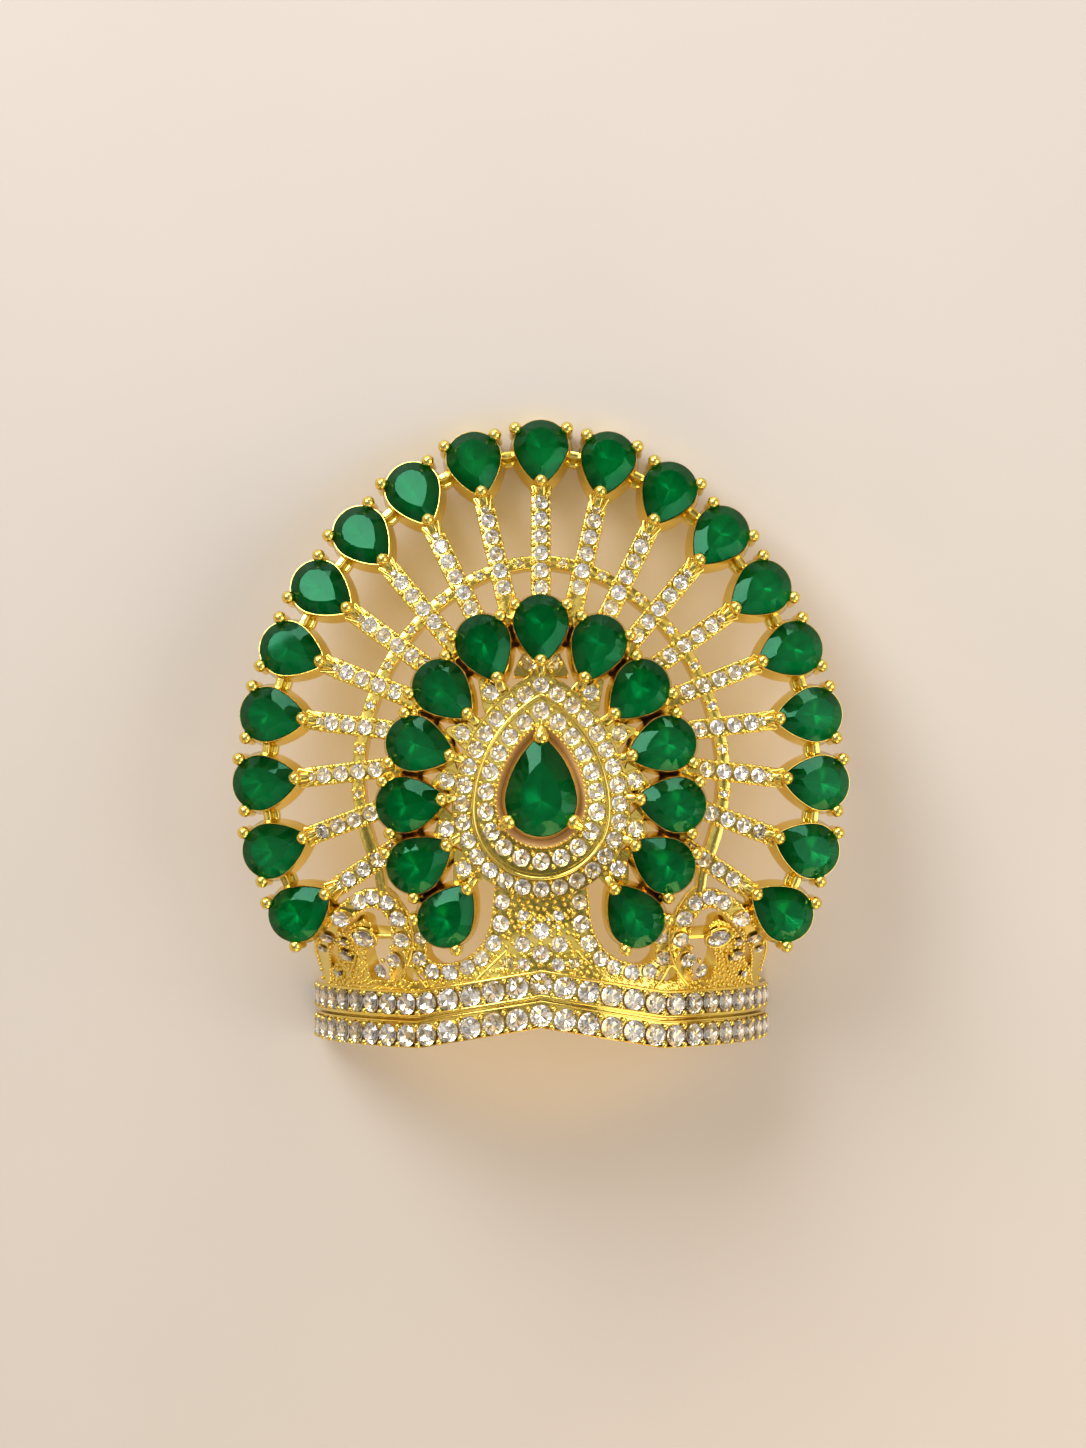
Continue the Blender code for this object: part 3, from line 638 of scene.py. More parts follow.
def strip_tree():
    """A flat strip with rounded edges along each path."""
    tree, given = geometry_tree("crown_strip", (
        ("Width", "Float"), ("Top", "Float"), ("Back", "Float"), ("Rounding", "Float"),
        ("Material", "Material"),
    ))
    curve = add(tree, "GeometryNodeMeshToCurve", {"Mesh": given["Geometry"]}).outputs[0]
    height = calculated(tree, "SUBTRACT", given["Top"], given["Back"])
    middle = calculated(tree, "ADD", given["Top"], given["Back"])
    shift = add(tree, "ShaderNodeCombineXYZ", {"X": calculated(tree, "MULTIPLY", middle, 0.5)})
    box = add(
        tree, "GeometryNodeCurvePrimitiveQuadrilateral",
        {"Width": height, "Height": given["Width"]},
    )
    edge = add(
        tree, "GeometryNodeFilletCurve",
        {"Curve": box.outputs[0], "Count": 3, "Radius": given["Rounding"], "Limit Radius": True},
        mode="POLY",
    )
    moved = add(
        tree, "GeometryNodeTransform", {"Geometry": edge.outputs[0], "Translation": shift.outputs[0]}
    )
    return end_tree(tree, swept(tree, curve, moved.outputs[0]), given["Material"])


def wire_tree():
    """A round wire along each path."""
    tree, given = geometry_tree("crown_wire", (
        ("Radius", "Float"), ("Sides", "Int"), ("Material", "Material"),
    ))
    curve = add(tree, "GeometryNodeMeshToCurve", {"Mesh": given["Geometry"]}).outputs[0]
    profile = add(
        tree, "GeometryNodeCurvePrimitiveCircle",
        {"Resolution": given["Sides"], "Radius": given["Radius"]},
    )
    return end_tree(tree, swept(tree, curve, profile.outputs[0]), given["Material"])


def put(tree, points, piece, size):
    """A piece on each point, with its Z up and its Y ahead."""
    turn = add(
        tree, "FunctionNodeAxesToRotation",
        {"Primary Axis": attribute(tree, "up"), "Secondary Axis": attribute(tree, "ahead")},
        primary_axis="Z", secondary_axis="Y",
    )
    shape = add(tree, "GeometryNodeObjectInfo", {"Object": piece})
    return add(tree, "GeometryNodeInstanceOnPoints", {
        "Points": points, "Instance": shape.outputs["Geometry"], "Rotation": turn.outputs[0],
        "Scale": size,
    }).outputs[0]


def set_tree():
    """A piece on each point of a mesh that holds up and ahead directions and a size."""
    tree, given = geometry_tree("crown_set", (("Piece", "Object"), ("Material", "Material")))
    points = add(tree, "GeometryNodeMeshToPoints", {"Mesh": given["Geometry"]}).outputs[0]
    size = attribute(tree, "size", "FLOAT")
    return end_tree(tree, put(tree, points, given["Piece"], size), given["Material"])


def row_tree(name, sides):
    """A piece at even steps along each path, on each of these sides of it."""
    tree, given = geometry_tree(name, (
        ("Piece", "Object"), ("Size", "Float"), ("Spread", "Float"), ("Material", "Material"),
    ))
    curve = add(tree, "GeometryNodeMeshToCurve", {"Mesh": given["Geometry"]}).outputs[0]
    steps = add(
        tree, "GeometryNodeResampleCurve",
        {"Curve": curve, "Count": attribute(tree, "points", "FLOAT")}, mode="COUNT",
    )
    tangent = add(tree, "GeometryNodeInputTangent").outputs[0]
    marked = add(
        tree, "GeometryNodeStoreNamedAttribute",
        {"Geometry": steps.outputs[0], "Name": "ahead", "Value": tangent},
        data_type="FLOAT_VECTOR", domain="POINT",
    )
    line = add(tree, "GeometryNodeCurveToMesh", {"Curve": marked.outputs[0]})
    points = add(tree, "GeometryNodeMeshToPoints", {"Mesh": line.outputs[0]}).outputs[0]
    across = add(
        tree, "ShaderNodeVectorMath", {0: attribute(tree, "up"), 1: attribute(tree, "ahead")},
        operation="CROSS_PRODUCT",
    ).outputs[0]
    both = add(tree, "GeometryNodeJoinGeometry")
    for side in sides:
        reach = calculated(tree, "MULTIPLY", given["Spread"], side)
        offset = add(
            tree, "ShaderNodeVectorMath", {"Vector": across, "Scale": reach}, operation="SCALE"
        )
        moved = add(tree, "GeometryNodeSetPosition", {"Geometry": points, "Offset": offset.outputs[0]})
        made = put(tree, moved.outputs[0], given["Piece"], given["Size"])
        tree.links.new(made, both.inputs[0])
    return end_tree(tree, both.outputs[0], given["Material"])


def grain_tree():
    """Grains scattered over faces, but not within their gap of the stones' edges."""
    tree, given = geometry_tree("crown_grains", (
        ("Piece", "Object"), ("Stones", "Object"), ("Gap", "Float"), ("Spacing", "Float"),
        ("Seed", "Int"), ("Material", "Material"),
    ))
    spread = add(tree, "GeometryNodeDistributePointsOnFaces", {
        "Mesh": given["Geometry"], "Distance Min": given["Spacing"],
        "Density Max": GRAIN_DENSITY, "Seed": given["Seed"],
    }, distribute_method="POISSON")
    stones = add(tree, "GeometryNodeObjectInfo", {"Object": given["Stones"]}).outputs["Geometry"]
    here = add(tree, "GeometryNodeInputPosition").outputs[0]
    nearest = add(tree, "GeometryNodeSampleNearest", {"Geometry": stones, "Sample Position": here})
    found = []
    for kind, value in (
        ("FLOAT", attribute(tree, "size", "FLOAT")), ("FLOAT_VECTOR", here),
    ):
        sample = add(
            tree, "GeometryNodeSampleIndex",
            {"Geometry": stones, "Value": value, "Index": nearest.outputs[0]}, data_type=kind,
        )
        found.append(sample.outputs[0])
    away = add(tree, "ShaderNodeVectorMath", {0: here, 1: found[1]}, operation="DISTANCE")
    radius = calculated(tree, "MULTIPLY_ADD", found[0], UNIT_RADIUS, given["Gap"])
    inside = calculated(tree, "LESS_THAN", away.outputs["Value"], radius)
    kept = add(
        tree, "GeometryNodeDeleteGeometry",
        {"Geometry": spread.outputs["Points"], "Selection": inside},
    )
    shape = add(tree, "GeometryNodeObjectInfo", {"Object": given["Piece"]})
    grains = add(tree, "GeometryNodeInstanceOnPoints", {
        "Points": kept.outputs[0], "Instance": shape.outputs["Geometry"],
    })
    return end_tree(tree, grains.outputs[0], given["Material"])


def tree_named(name):
    """A geometry tree of this crown, built at its first use."""
    makers = {
        "crown_strip": strip_tree,
        "crown_wire": wire_tree,
        "crown_set": set_tree,
        "crown_grains": grain_tree,
        "crown_row": lambda: row_tree("crown_row", (0,)),
        "crown_pairs": lambda: row_tree("crown_pairs", (1, -1)),
    }
    return bpy.data.node_groups.get(name) or makers[name]()


def linked(name, data):
    """An object with this data, in the scene."""
    obj = bpy.data.objects.new(name, data)
    bpy.context.scene.collection.objects.link(obj)
    return obj


def evaluated(obj):
    """The mesh that an object shows."""
    graph = bpy.context.evaluated_depsgraph_get()
    return bpy.data.meshes.new_from_object(obj.evaluated_get(graph))


def grown(mesh, tree_name, **values):
    """The mesh that a geometry tree makes from another one, with meshes also as its values."""
    tree = tree_named(tree_name)
    holder = linked(mesh.name, mesh)
    modifier = holder.modifiers.new(tree_name, "NODES")
    modifier.node_group = tree
    helpers = []
    for socket in tree.interface.items_tree:
        if socket.in_out != "INPUT" or socket.name == "Geometry":
            continue
        value = values[socket.name.lower()]
        if isinstance(value, bpy.types.Mesh):
            value = bpy.data.objects.new(value.name, value)
            helpers.append(value)
        modifier[socket.identifier] = value
    made = evaluated(holder)
    holder.modifiers.remove(modifier)
    for helper in (holder, *helpers):
        bpy.data.objects.remove(helper)
    if not made.polygons:
        raise RuntimeError(f"{mesh.name}: the tree {tree_name} made no faces")
    return made


# Meshes

def mesh_from(bm, name, outward=True):
    """A mesh from a bmesh, with its normals pointing out."""
    if outward:
        bmesh.ops.recalc_face_normals(bm, faces=bm.faces)
    mesh = bpy.data.meshes.new(name)
    bm.to_mesh(mesh)
    bm.free()
    return mesh


def guide(name, paths, closed=False):
    """Edges along each path of (place, up) spots, with the number of points to take on it.

    The tree rounds the mean of the numbers down, so each one is stored with a half more.
    """
    vertices, edges, ups, counts = [], [], [], []
    for line, count in paths:
        first, last = len(vertices), len(vertices) + len(line) - 1
        edges += [(index, index + 1) for index in range(first, last)]
        if closed:
            edges.append((last, first))
        vertices += [place for place, _ in line]
        ups += [part for _, up in line for part in up]
        counts += [count + 0.5] * len(line)
    mesh = bpy.data.meshes.new(name)
    mesh.from_pydata(vertices, edges, [])
    mesh.attributes.new("up", "FLOAT_VECTOR", "POINT").data.foreach_set("vector", ups)
    mesh.attributes.new("points", "FLOAT", "POINT").data.foreach_set("value", counts)
    return mesh


def spots(name, places, sizes=None):
    """A point at each place, with its up and ahead directions and its size."""
    mesh = bpy.data.meshes.new(name)
    mesh.from_pydata([place.translation for place in places], [], [])
    for label, axis in (("up", 2), ("ahead", 1)):
        values = [part for place in places for part in place.col[axis].xyz]
        mesh.attributes.new(label, "FLOAT_VECTOR", "POINT").data.foreach_set("vector", values)
    sizes = sizes or [1.0] * len(places)
    mesh.attributes.new("size", "FLOAT", "POINT").data.foreach_set("value", sizes)
    return mesh


def loft(name, rings, tip=None, closed=False):
    """A body through rings of points. Its ends are flat, or meet in a tip, or in each other."""
    bm = bmesh.new()
    rows = [[bm.verts.new(point) for point in ring] for ring in rings]
    pairs = list(zip(rows, rows[1:]))
    if closed:
        pairs.append((rows[-1], rows[0]))
    for one, other in pairs:
        for index in range(len(one)):
            after = (index + 1) % len(one)
            bm.faces.new((one[index], one[after], other[after], other[index]))
    if not closed:
        bm.faces.new(rows[0])
    if tip is not None:
        point = bm.verts.new(tip)
        for index, vertex in enumerate(rows[-1]):
            bm.faces.new((vertex, rows[-1][(index + 1) % len(rows[-1])], point))
    elif not closed:
        bm.faces.new(rows[-1])
    return mesh_from(bm, name)


def brilliant(name, table, stars, girdle, edge, culet):
    """A brilliant-cut stone from its table, the ring of its star facets and its girdle.

    The girdle has two points for each one of the table, and the stars lie half a step on.
    """
    bm = bmesh.new()
    foil = bm.faces.layers.float.new("foil")
    table, stars, girdle = (
        [bm.verts.new(point) for point in ring] for ring in (table, stars, girdle)
    )
    lower = [bm.verts.new(vertex.co - Vector((0, 0, edge))) for vertex in girdle]
    bottom = bm.verts.new(culet)
    bm.faces.new(table)
    count = len(table)
    for index in range(count):
        after = (index + 1) % count
        left, middle, right = girdle[2 * index], girdle[2 * index + 1], girdle[2 * after]
        bm.faces.new((table[index], stars[index], table[after]))
        bm.faces.new((table[after], stars[index], right, stars[after]))
        bm.faces.new((stars[index], left, middle))
        bm.faces.new((stars[index], middle, right))
    for index, vertex in enumerate(girdle):
        after = (index + 1) % len(girdle)
        bm.faces.new((vertex, girdle[after], lower[after], lower[index]))
        bm.faces.new((lower[index], lower[after], bottom))[foil] = 1.0
    return mesh_from(bm, name)


def ball(name, radius, segments=12, rings=8):
    """A ball round the origin."""
    bm = bmesh.new()
    bmesh.ops.create_uvsphere(bm, u_segments=segments, v_segments=rings, radius=radius)
    return mesh_from(bm, name)


def joined(name, meshes):
    """One mesh from several."""
    bm = bmesh.new()
    for mesh in meshes:
        bm.from_mesh(mesh)
        bpy.data.meshes.remove(mesh)
    return mesh_from(bm, name, outward=False)


def smoothed(mesh, angle=math.radians(40)):
    """Shades a mesh smooth where its faces meet at less than this angle."""
    mesh.shade_smooth()
    mesh.set_sharp_from_angle(angle=angle)
    return mesh


def piece(name, mesh, slot=None, material=None, stands_for=(METAL,)):
    """Lays a finished mesh where the crown lies and gives it to the frame."""
    mesh.name = name
    if material is not None:
        mesh.materials.clear()
        mesh.materials.append(material)
    mesh.transform(rest_place())
    obj = linked(name, mesh)
    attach(obj, BODY)
    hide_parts(*stands_for)
    return obj


def golden(name, mesh):
    """Lays a finished mesh in gold."""
    return piece(name, smoothed(mesh), "gold", gold())


def repeated(name, places, shape):
    """Lays a gold shape at each of these places."""
    made = grown(spots(name, places), "crown_set", piece=shape, material=gold())
    return piece(name, smoothed(made), "gold")


def beaded(name, lines, tree_name, radius, spread=0.0, rings=6):
    """Lays gold beads at even steps along lines, on them or on both sides of them."""
    beads = grown(
        lines, tree_name, piece=ball("bead", radius, 8, rings), size=1.0, spread=spread,
        material=gold(),
    )
    return piece(name, smoothed(beads), "gold")


# Materials

def material_named(name, build):
    """A material of this crown, built at its first use."""
    found = bpy.data.materials.get(name)
    if found is None:
        found = bpy.data.materials.new(name)
        found.use_nodes = True
        tree = found.node_tree
        build(tree, tree.nodes["Principled BSDF"])
    return found


def ranged(tree, value, low, high):
    """A value from 0 to 1 spread between two others."""
    return add(tree, "ShaderNodeMapRange", {"Value": value, "To Min": low, "To Max": high}).outputs[0]


def mixed(tree, factor, one, other):
    """A colour between two others, each given as its three parts or as a socket."""
    ends = [
        value if isinstance(value, bpy.types.NodeSocket) else (*value, 1) for value in (one, other)
    ]
    inputs = {"Factor": factor, "A": ends[0], "B": ends[1]}
    return add(tree, "ShaderNodeMix", inputs, data_type="RGBA").outputs["Result"]


def noise(tree, size, detail=2.0):
    """Noise on Object coordinates whose features are about this large."""
    place = add(tree, "ShaderNodeTexCoord").outputs["Object"]
    return add(tree, "ShaderNodeTexNoise", {"Vector": place, "Scale": 1 / size, "Detail": detail})


def bump(tree, height, distance):
    """Normals that follow a height."""
    return add(tree, "ShaderNodeBump", {"Height": height, "Distance": distance}).outputs[0]


def gold():
    """Bright polished gold plate with a faintly uneven cast surface."""
    finish = bpy.context.scene.crown_finish

    def build(tree, shader):
        cloud = noise(tree, 0.004).outputs["Fac"]
        ripple = noise(tree, 0.0006, 3.0).outputs["Fac"]
        feed(tree, shader, {
            "Base Color": mixed(tree, cloud, finish.gold_colour, finish.gold_shade),
            "Roughness": ranged(tree, cloud, finish.gold_roughness, finish.gold_roughness + 0.08),
            "Normal": bump(tree, ripple, 0.00002),
            "Metallic": 1.0,
        })

    return material_named("polished_gold", build)


def gold_with_painted_shade():
    """Gold inside the opening with painted shade: browner than the polished gold, the colour of the
    opening in shadow, and a faint warm painted glow from its emission, though it is no lamp.
    """

    def build(tree, shader):
        brushed = noise(tree, 0.0004, 4.0).outputs["Fac"]
        feed(tree, shader, {
            # Painted shade in the browner colour, and a painted warm glow in the emission.
            "Base Color": mixed(tree, brushed, (0.88, 0.66, 0.38), (0.74, 0.52, 0.27)),
            "Roughness": ranged(tree, brushed, 0.35, 0.5),
            "Metallic": 0.1,
            "Emission Color": (0.75, 0.48, 0.22, 1),
            "Emission Strength": 0.12,
        })

    return material_named("satin_gold", build)


def green():
    """Deep green stone, clear enough to show its pavilion, with a painted glint: a lighter green
    painted into its colour on the table and where the main light would leave it.
    """
    finish = bpy.context.scene.crown_finish

    def build(tree, shader):
        cloud = noise(tree, 0.0025, 3.0).outputs["Fac"]
        deep = [part * 0.6 for part in finish.green_colour]
        tone = mixed(tree, cloud, finish.green_colour, deep)
        # Share of the painted glint on each facet; the lighter green is painted into the base colour
        # there.
        light = add(tree, "ShaderNodeAttribute", attribute_name="lit").outputs["Fac"]
        foil = add(tree, "ShaderNodeAttribute", attribute_name="foil").outputs["Fac"]
        feed(tree, shader, {
            "Base Color": mixed(tree, light, tone, finish.painted_green_glint),
            "Metallic": ranged(tree, foil, 0.0, 0.5),
            "Transmission Weight": ranged(tree, foil, 1.0, 0.0),
            "Roughness": ranged(tree, foil, 0.03, 0.28),
            "IOR": 1.45,
            "Specular IOR Level": 0.035,
            "Specular Tint": (0.2, 0.75, 0.45, 1),
        })

    return material_named("deep_green", build)


def clear():
    """Clear round stone, whose metallic back mirrors white light, with painted reflections of the gold
    round it: warm patches painted into its back's colour.
    """

    def build(tree, shader):
        foil = add(tree, "ShaderNodeAttribute", attribute_name="foil").outputs["Fac"]
        patches = noise(tree, 0.0005, 0.0).outputs["Fac"]
        # Painted reflection of the gold round the stone: warm patches on its back.
        painted_gold_reflection = add(tree, "ShaderNodeMapRange", {
            "Value": patches, "From Min": 0.45, "From Max": 0.65,
        })
        share = calculated(tree, "MULTIPLY", painted_gold_reflection.outputs[0], foil)
        feed(tree, shader, {
            "Base Color": mixed(tree, share, WHITE, (1.0, 0.83, 0.48)),
            "Metallic": ranged(tree, foil, 0.0, 0.75),
            "Transmission Weight": ranged(tree, foil, 1.0, 0.0),
            "Roughness": 0.02,
            "IOR": 1.9,
        })

    return material_named("clear_stone", build)


# What a user may change

class CrownSizes(bpy.types.PropertyGroup):
    """Sizes of the stones and of the beads and claws that hold them."""

    pear_width: FloatProperty(
        name="Pear Width", description="Width of the fan's pear stones", default=0.0050, unit="LENGTH"
    )
    pear_length: FloatProperty(
        name="Pear Length", description="Length of the fan's pear stones", default=0.0065, unit="LENGTH"
    )
    centre_width: FloatProperty(
        name="Middle Stone Width", description="Width of the large pear stone", default=0.0065,
        unit="LENGTH",
    )
    centre_length: FloatProperty(
        name="Middle Stone Length", description="Length of the large pear stone", default=0.00925,
        unit="LENGTH",
    )
    claw_ball: FloatProperty(
        name="Claw Ball", description="Radius of the ball on each claw of a pear stone",
        default=0.00061, unit="LENGTH",
    )
    centre_ball: FloatProperty(
        name="Large Claw Ball", description="Radius of the balls round the middle stone",
        default=0.00074, unit="LENGTH",
    )
    bead: FloatProperty(
        name="Bead", description="Radius of the beads that hold the round stones",
        default=0.00026, unit="LENGTH",
    )
    spoke_stone: FloatProperty(
        name="Spoke Stone", description="Radius of the round stones on the spokes",
        default=0.00070, unit="LENGTH",
    )
    spoke_pitch: FloatProperty(
        name="Spoke Pitch", description="Distance between the stones on a spoke",
        default=0.00160, unit="LENGTH",
    )
    band_stone: FloatProperty(
        name="Band Stone", description="Radius of the round stones on the band",
        default=0.00106, unit="LENGTH",
    )


class CrownFinish(bpy.types.PropertyGroup):
    """Colours and gloss of the crown's materials."""

    gold_colour: FloatVectorProperty(
        name="Gold", description="Colour of the gold plate", subtype="COLOR", size=3,
        default=(0.88, 0.72, 0.19),
    )
    gold_shade: FloatVectorProperty(
        name="Gold Shade", description="Deeper colour that the gold plate drifts to", subtype="COLOR",
        size=3, default=(0.80, 0.58, 0.10),
    )
    gold_roughness: FloatProperty(
        name="Gold Roughness", description="Roughness of the brightest gold", default=0.13,
        min=0.0, max=1.0,
    )
    green_colour: FloatVectorProperty(
        name="Green", description="Colour of the pear stones", subtype="COLOR", size=3,
        default=(0.002, 0.36, 0.13),
    )
    # The painted glint: a lighter green painted on the facets where the main light would leave the pear
    # stones.
    painted_green_glint: FloatVectorProperty(
        name="Painted Green Glint", description="Colour where light leaves the pear stones", subtype="COLOR",
        size=3, default=(0.03, 0.95, 0.60),
    )


class CrownStudio(bpy.types.PropertyGroup):
    """The floor, the lights and the camera."""

    floor_colour: FloatVectorProperty(
        name="Floor", description="Colour of the floor", subtype="COLOR", size=3,
        default=(0.62, 0.585, 0.55),
    )
    key_power: FloatProperty(
        name="Key Light", description="Power of the main soft light in watts", default=2.0, min=0.0
    )
    fill_power: FloatProperty(
        name="Fill Light", description="Power of the soft light on the right in watts", default=0.5,
        min=0.0,
    )
    card_power: FloatProperty(
        name="Gold Card", description="Power of the low warm light in front in watts", default=0.35,
        min=0.0,
    )
    glow_power: FloatProperty(
        name="Gold Glow", description="Power of the gold light on the floor under the crown in watts",
        default=0.0030, min=0.0,
    )
    camera_distance: FloatProperty(
        name="Camera Distance", description="Distance from the camera to the crown", default=0.4,
        unit="LENGTH",
    )
    lens: FloatProperty(
        name="Focal Length", description="Focal length of the camera in millimetres", default=108.0
    )


# The pear stones and their settings

def pear_ring(width, length, shoulder, share, level, sides, shift=0.0):
    """Points at even distances round a pear outline of this share of the stone's size."""
    outline = pear(width / 2 * share, (length - width / 2) * share, OUTLINE_STEPS, shoulder)
    return raised(evenly(outline, sides, shift), level)


def pear_stone(name, width, length, shoulder, crown, pavilion, sides):
    """A pear-cut stone with its tip along Y and its girdle's middle at the origin."""
    edge = GIRDLE_HEIGHT / 2
    table = pear_ring(width, length, shoulder, TABLE_SHARE, edge + crown, sides)
    stars = pear_ring(
        width, length, shoulder, STAR_SHARE, edge + crown * STAR_RISE_SHARE, sides, 0.5
    )
    girdle = pear_ring(width, length, shoulder, 1.0, edge, 2 * sides)
    return brilliant(name, table, stars, girdle, GIRDLE_HEIGHT, (0, 0, -edge - pavilion))


def pear_rise():
    """How far the tip of a small pear stone lies from its middle."""
    sizes = bpy.context.scene.crown_sizes
    return sizes.pear_length - sizes.pear_width / 2


def small_pear():
    """The stone of the fan and of the inner row."""
    sizes = bpy.context.scene.crown_sizes
    return pear_stone(
        "small_pear", sizes.pear_width, sizes.pear_length, PEAR_SHOULDER, CROWN_HEIGHT,
        PAVILION_DEPTH, SMALL_PEAR_SIDES,
    )


def large_pear():
    """The stone in the middle."""
    sizes = bpy.context.scene.crown_sizes
    return pear_stone(
        "large_pear", sizes.centre_width, sizes.centre_length, CENTRE_SHOULDER,
        CENTRE_CROWN_HEIGHT, CENTRE_PAVILION_DEPTH, LARGE_PEAR_SIDES,
    )


def lit(mesh, place):
    """Marks how much painted glint each facet of a pear stone gets: a lighter green painted into its
    colour.

    The table gets some, and the crown's facets most where the main light would leave the stone.
    """
    table = place.col[2].xyz
    facets = mesh.attributes.new("lit", "FLOAT", "FACE").data
    for facet, face in zip(facets, mesh.polygons):
        if face.normal.dot(table) > TABLE_FACING:
            facet.value = TABLE_PAINTED_GLINT
        elif face.normal.dot(table) > CROWN_FACING:
            facet.value = min(1.0, max(0.0, (face.normal.dot(PAINTED_GLINT_SIDE) - PAINTED_GLINT_FROM) / PAINTED_GLINT_SPAN))
    return mesh


def fan_places():
    """The frames of the fan's stones, which point to the origin."""
    return [seat(place, FAN_STONE_LEVEL, focus=(0, 0)) for place in fan_seats()]


def row_places():
    """The frames of the inner row's stones, which point to the medallion."""
    return [seat(place, ROW_STONE_LEVEL, focus=(0, ROW_FOCUS_V)) for place in row_seats()]


def centre_place():
    """The frame of the large stone."""
    return seat((0, CENTRE_STONE_V), CENTRE_STONE_LEVEL)


def collar(name, width, length, shoulder, depth):
    """The cup of a pear stone: a side that flares to its foot, a thin bright lip and a pocket."""
    rings = []
    for offset, level in ((COLLAR_REACH, -depth), *COLLAR_PROFILE):
        outline = pear(width / 2, length - width / 2, COLLAR_SIDES, shoulder, offset)
        rings.append(raised(outline, level))
    return loft(name, rings, tip=(0, 0, CUP_FLOOR - depth))


def claw(name, ball_radius, reach, tip_reach, depth, tail=0.0):
    """A claw that rises from its root behind the collar and ends in a ball over the stone's edge.

    The ball may be drawn out in a tail away from the stone.
    """
    root = Vector((0, reach + ball_radius * CLAW_ROOT_SHARE, -depth))
    neck = Vector((0, reach + ball_radius * CLAW_NECK_SHARE, CLAW_NECK_LEVEL))
    top = Vector((0, tip_reach, CLAW_BALL_LEVEL))
    bm = bmesh.new()
    bmesh.ops.create_uvsphere(
        bm, u_segments=16, v_segments=10, radius=ball_radius, matrix=Matrix.Translation(top)
    )
    stem = ball_radius * CLAW_STEM_SHARE
    rings = []
    for centre in (root, neck, neck.lerp(top, CLAW_BEND)):
        rings.append([centre + Vector((x, y, 0)) for x, y in circle(stem, CLAW_SIDES)])
    bm.from_mesh(loft("stem", rings))
    if tail:
        rings = []
        for share, y in zip(TAIL_SHARES, (0, tail * TAIL_MIDDLE)):
            ring = circle(ball_radius * share, CLAW_SIDES)
            rings.append([top + Vector((x, y, z)) for x, z in ring])
        bm.from_mesh(loft("tail", rings, tip=top + Vector((0, tail, -TAIL_DROP))))
    return mesh_from(bm, name)


def claws(width, length, ball_radius, outsets, depth, tail=0.0):
    """The claw of a stone's sides and that of its tip."""
    half = width / 2
    reaches = (half, length - half)
    return [
        claw("claw", ball_radius, reach + outset, reach + ball_outset, depth, tail)
        for reach, outset, ball_outset in zip(reaches, CLAW_OUTSETS, outsets)
    ]


class CROWN_OT_pear_stones(bpy.types.Operator):
    """Cut the green pear stones and lay each one in its setting"""

    bl_idname = "crown.pear_stones"
    bl_label = "Pear Stones"

    def execute(self, context):
        small, large = small_pear(), large_pear()
        sets = [("outer", small, fan_places()), ("inner", small, row_places())]
        for row, stone, places in sets:
            for number, place in enumerate(places, start=1):
                mesh = stone.copy()
                mesh.transform(place)
                name = f"{row}_pear_{number:02d}"
                # Each stone's facets carry the share of their painted glint.
                piece(name, lit(mesh, place), "green_stone", green(), [f"{row}_stone_{number:02d}"])
        place = centre_place()
        large.transform(place)
        piece("centre_pear", lit(large, place), "green_stone", green(), ["centre_stone"])
        return {"FINISHED"}


class CROWN_OT_settings(bpy.types.Operator):
    """Raise a collar and three claws round each pear stone"""

    bl_idname = "crown.settings"
    bl_label = "Settings"

    def execute(self, context):
        sizes = context.scene.crown_sizes
        rows = fan_places() + row_places()
        wall = collar("collar", sizes.pear_width, sizes.pear_length, PEAR_SHOULDER, COLLAR_DEPTH)
        repeated("collars", rows, smoothed(wall))
        side, end = claws(
            sizes.pear_width, sizes.pear_length, sizes.claw_ball, SMALL_BALL_OUTSETS, COLLAR_DEPTH
        )
        turned = [
            place @ Matrix.Rotation(math.pi + angle, 4, "Z")
            for place in rows for angle in (-CLAW_ANGLE, CLAW_ANGLE)
        ]
        repeated("side_claws", turned, side)
        repeated("tip_claws", rows, end)
        self.centre(sizes)
        return {"FINISHED"}

    def centre(self, sizes):
        """The setting of the large stone in the middle."""
        place = centre_place()
        width, length = sizes.centre_width, sizes.centre_length
        depth = CENTRE_COLLAR_DEPTH
        wall = collar("centre_collar", width, length, CENTRE_SHOULDER, depth)
        wall.transform(place)
        golden("centre_collar", wall)
        side, end = claws(width, length, sizes.centre_ball, CENTRE_BALL_OUTSETS, depth, CLAW_TAIL)
        three = [end]
        for angle in (-CLAW_ANGLE, CLAW_ANGLE):
            turned = side.copy()
            turned.transform(Matrix.Rotation(math.pi + angle, 4, "Z"))
            three.append(turned)
        made = joined("centre_claws", three)
        made.transform(place)
        golden("centre_claws", made)


# The fan

def gallery_curve():
    """The right half of the line that the gallery follows, just outside the inner row."""
    reaches = [reach + GALLERY_OFFSET for reach in (ROW_HALF_WIDTH, ROW_RISE, ROW_DROP)]
    return half_oval(*reaches, ROW_CENTRE_V)


def hoop_curve():
    """The right half of the line that the hoop follows."""
    return half_oval(HOOP_HALF_WIDTH, HOOP_RISE, HOOP_DROP, HOOP_CENTRE_V)


def over_the_top(half, last_v):
    """Both sides of a mirrored curve down to this height, in even steps."""
    above = [point for point in half if point[1] >= last_v]
    return both_sides(stretch(above, 0, length_of(above), HOOP_STEPS))


def spoke_lines():
    """The start and end of each spoke, from the tip of its stone to the gallery."""
    reach = pear_rise() - SPOKE_OVERLAP
    gallery = gallery_curve()
    lines = []
    for place in fan_seats():
        end = ahead_on(gallery, Vector(place).normalized())
        lines.append((toward(place, (0, 0), reach), end))
    return lines


def strips(name, paths, width, top, back):
    """Flat gold strips along paths of spots on a sheet."""
    mesh = guide(name, [(path, 0) for path in paths])
    made = grown(
        mesh, "crown_strip", width=width, top=top, back=back, rounding=STRIP_ROUNDING,
        material=gold(),
    )
    return piece(name, smoothed(made), "gold")


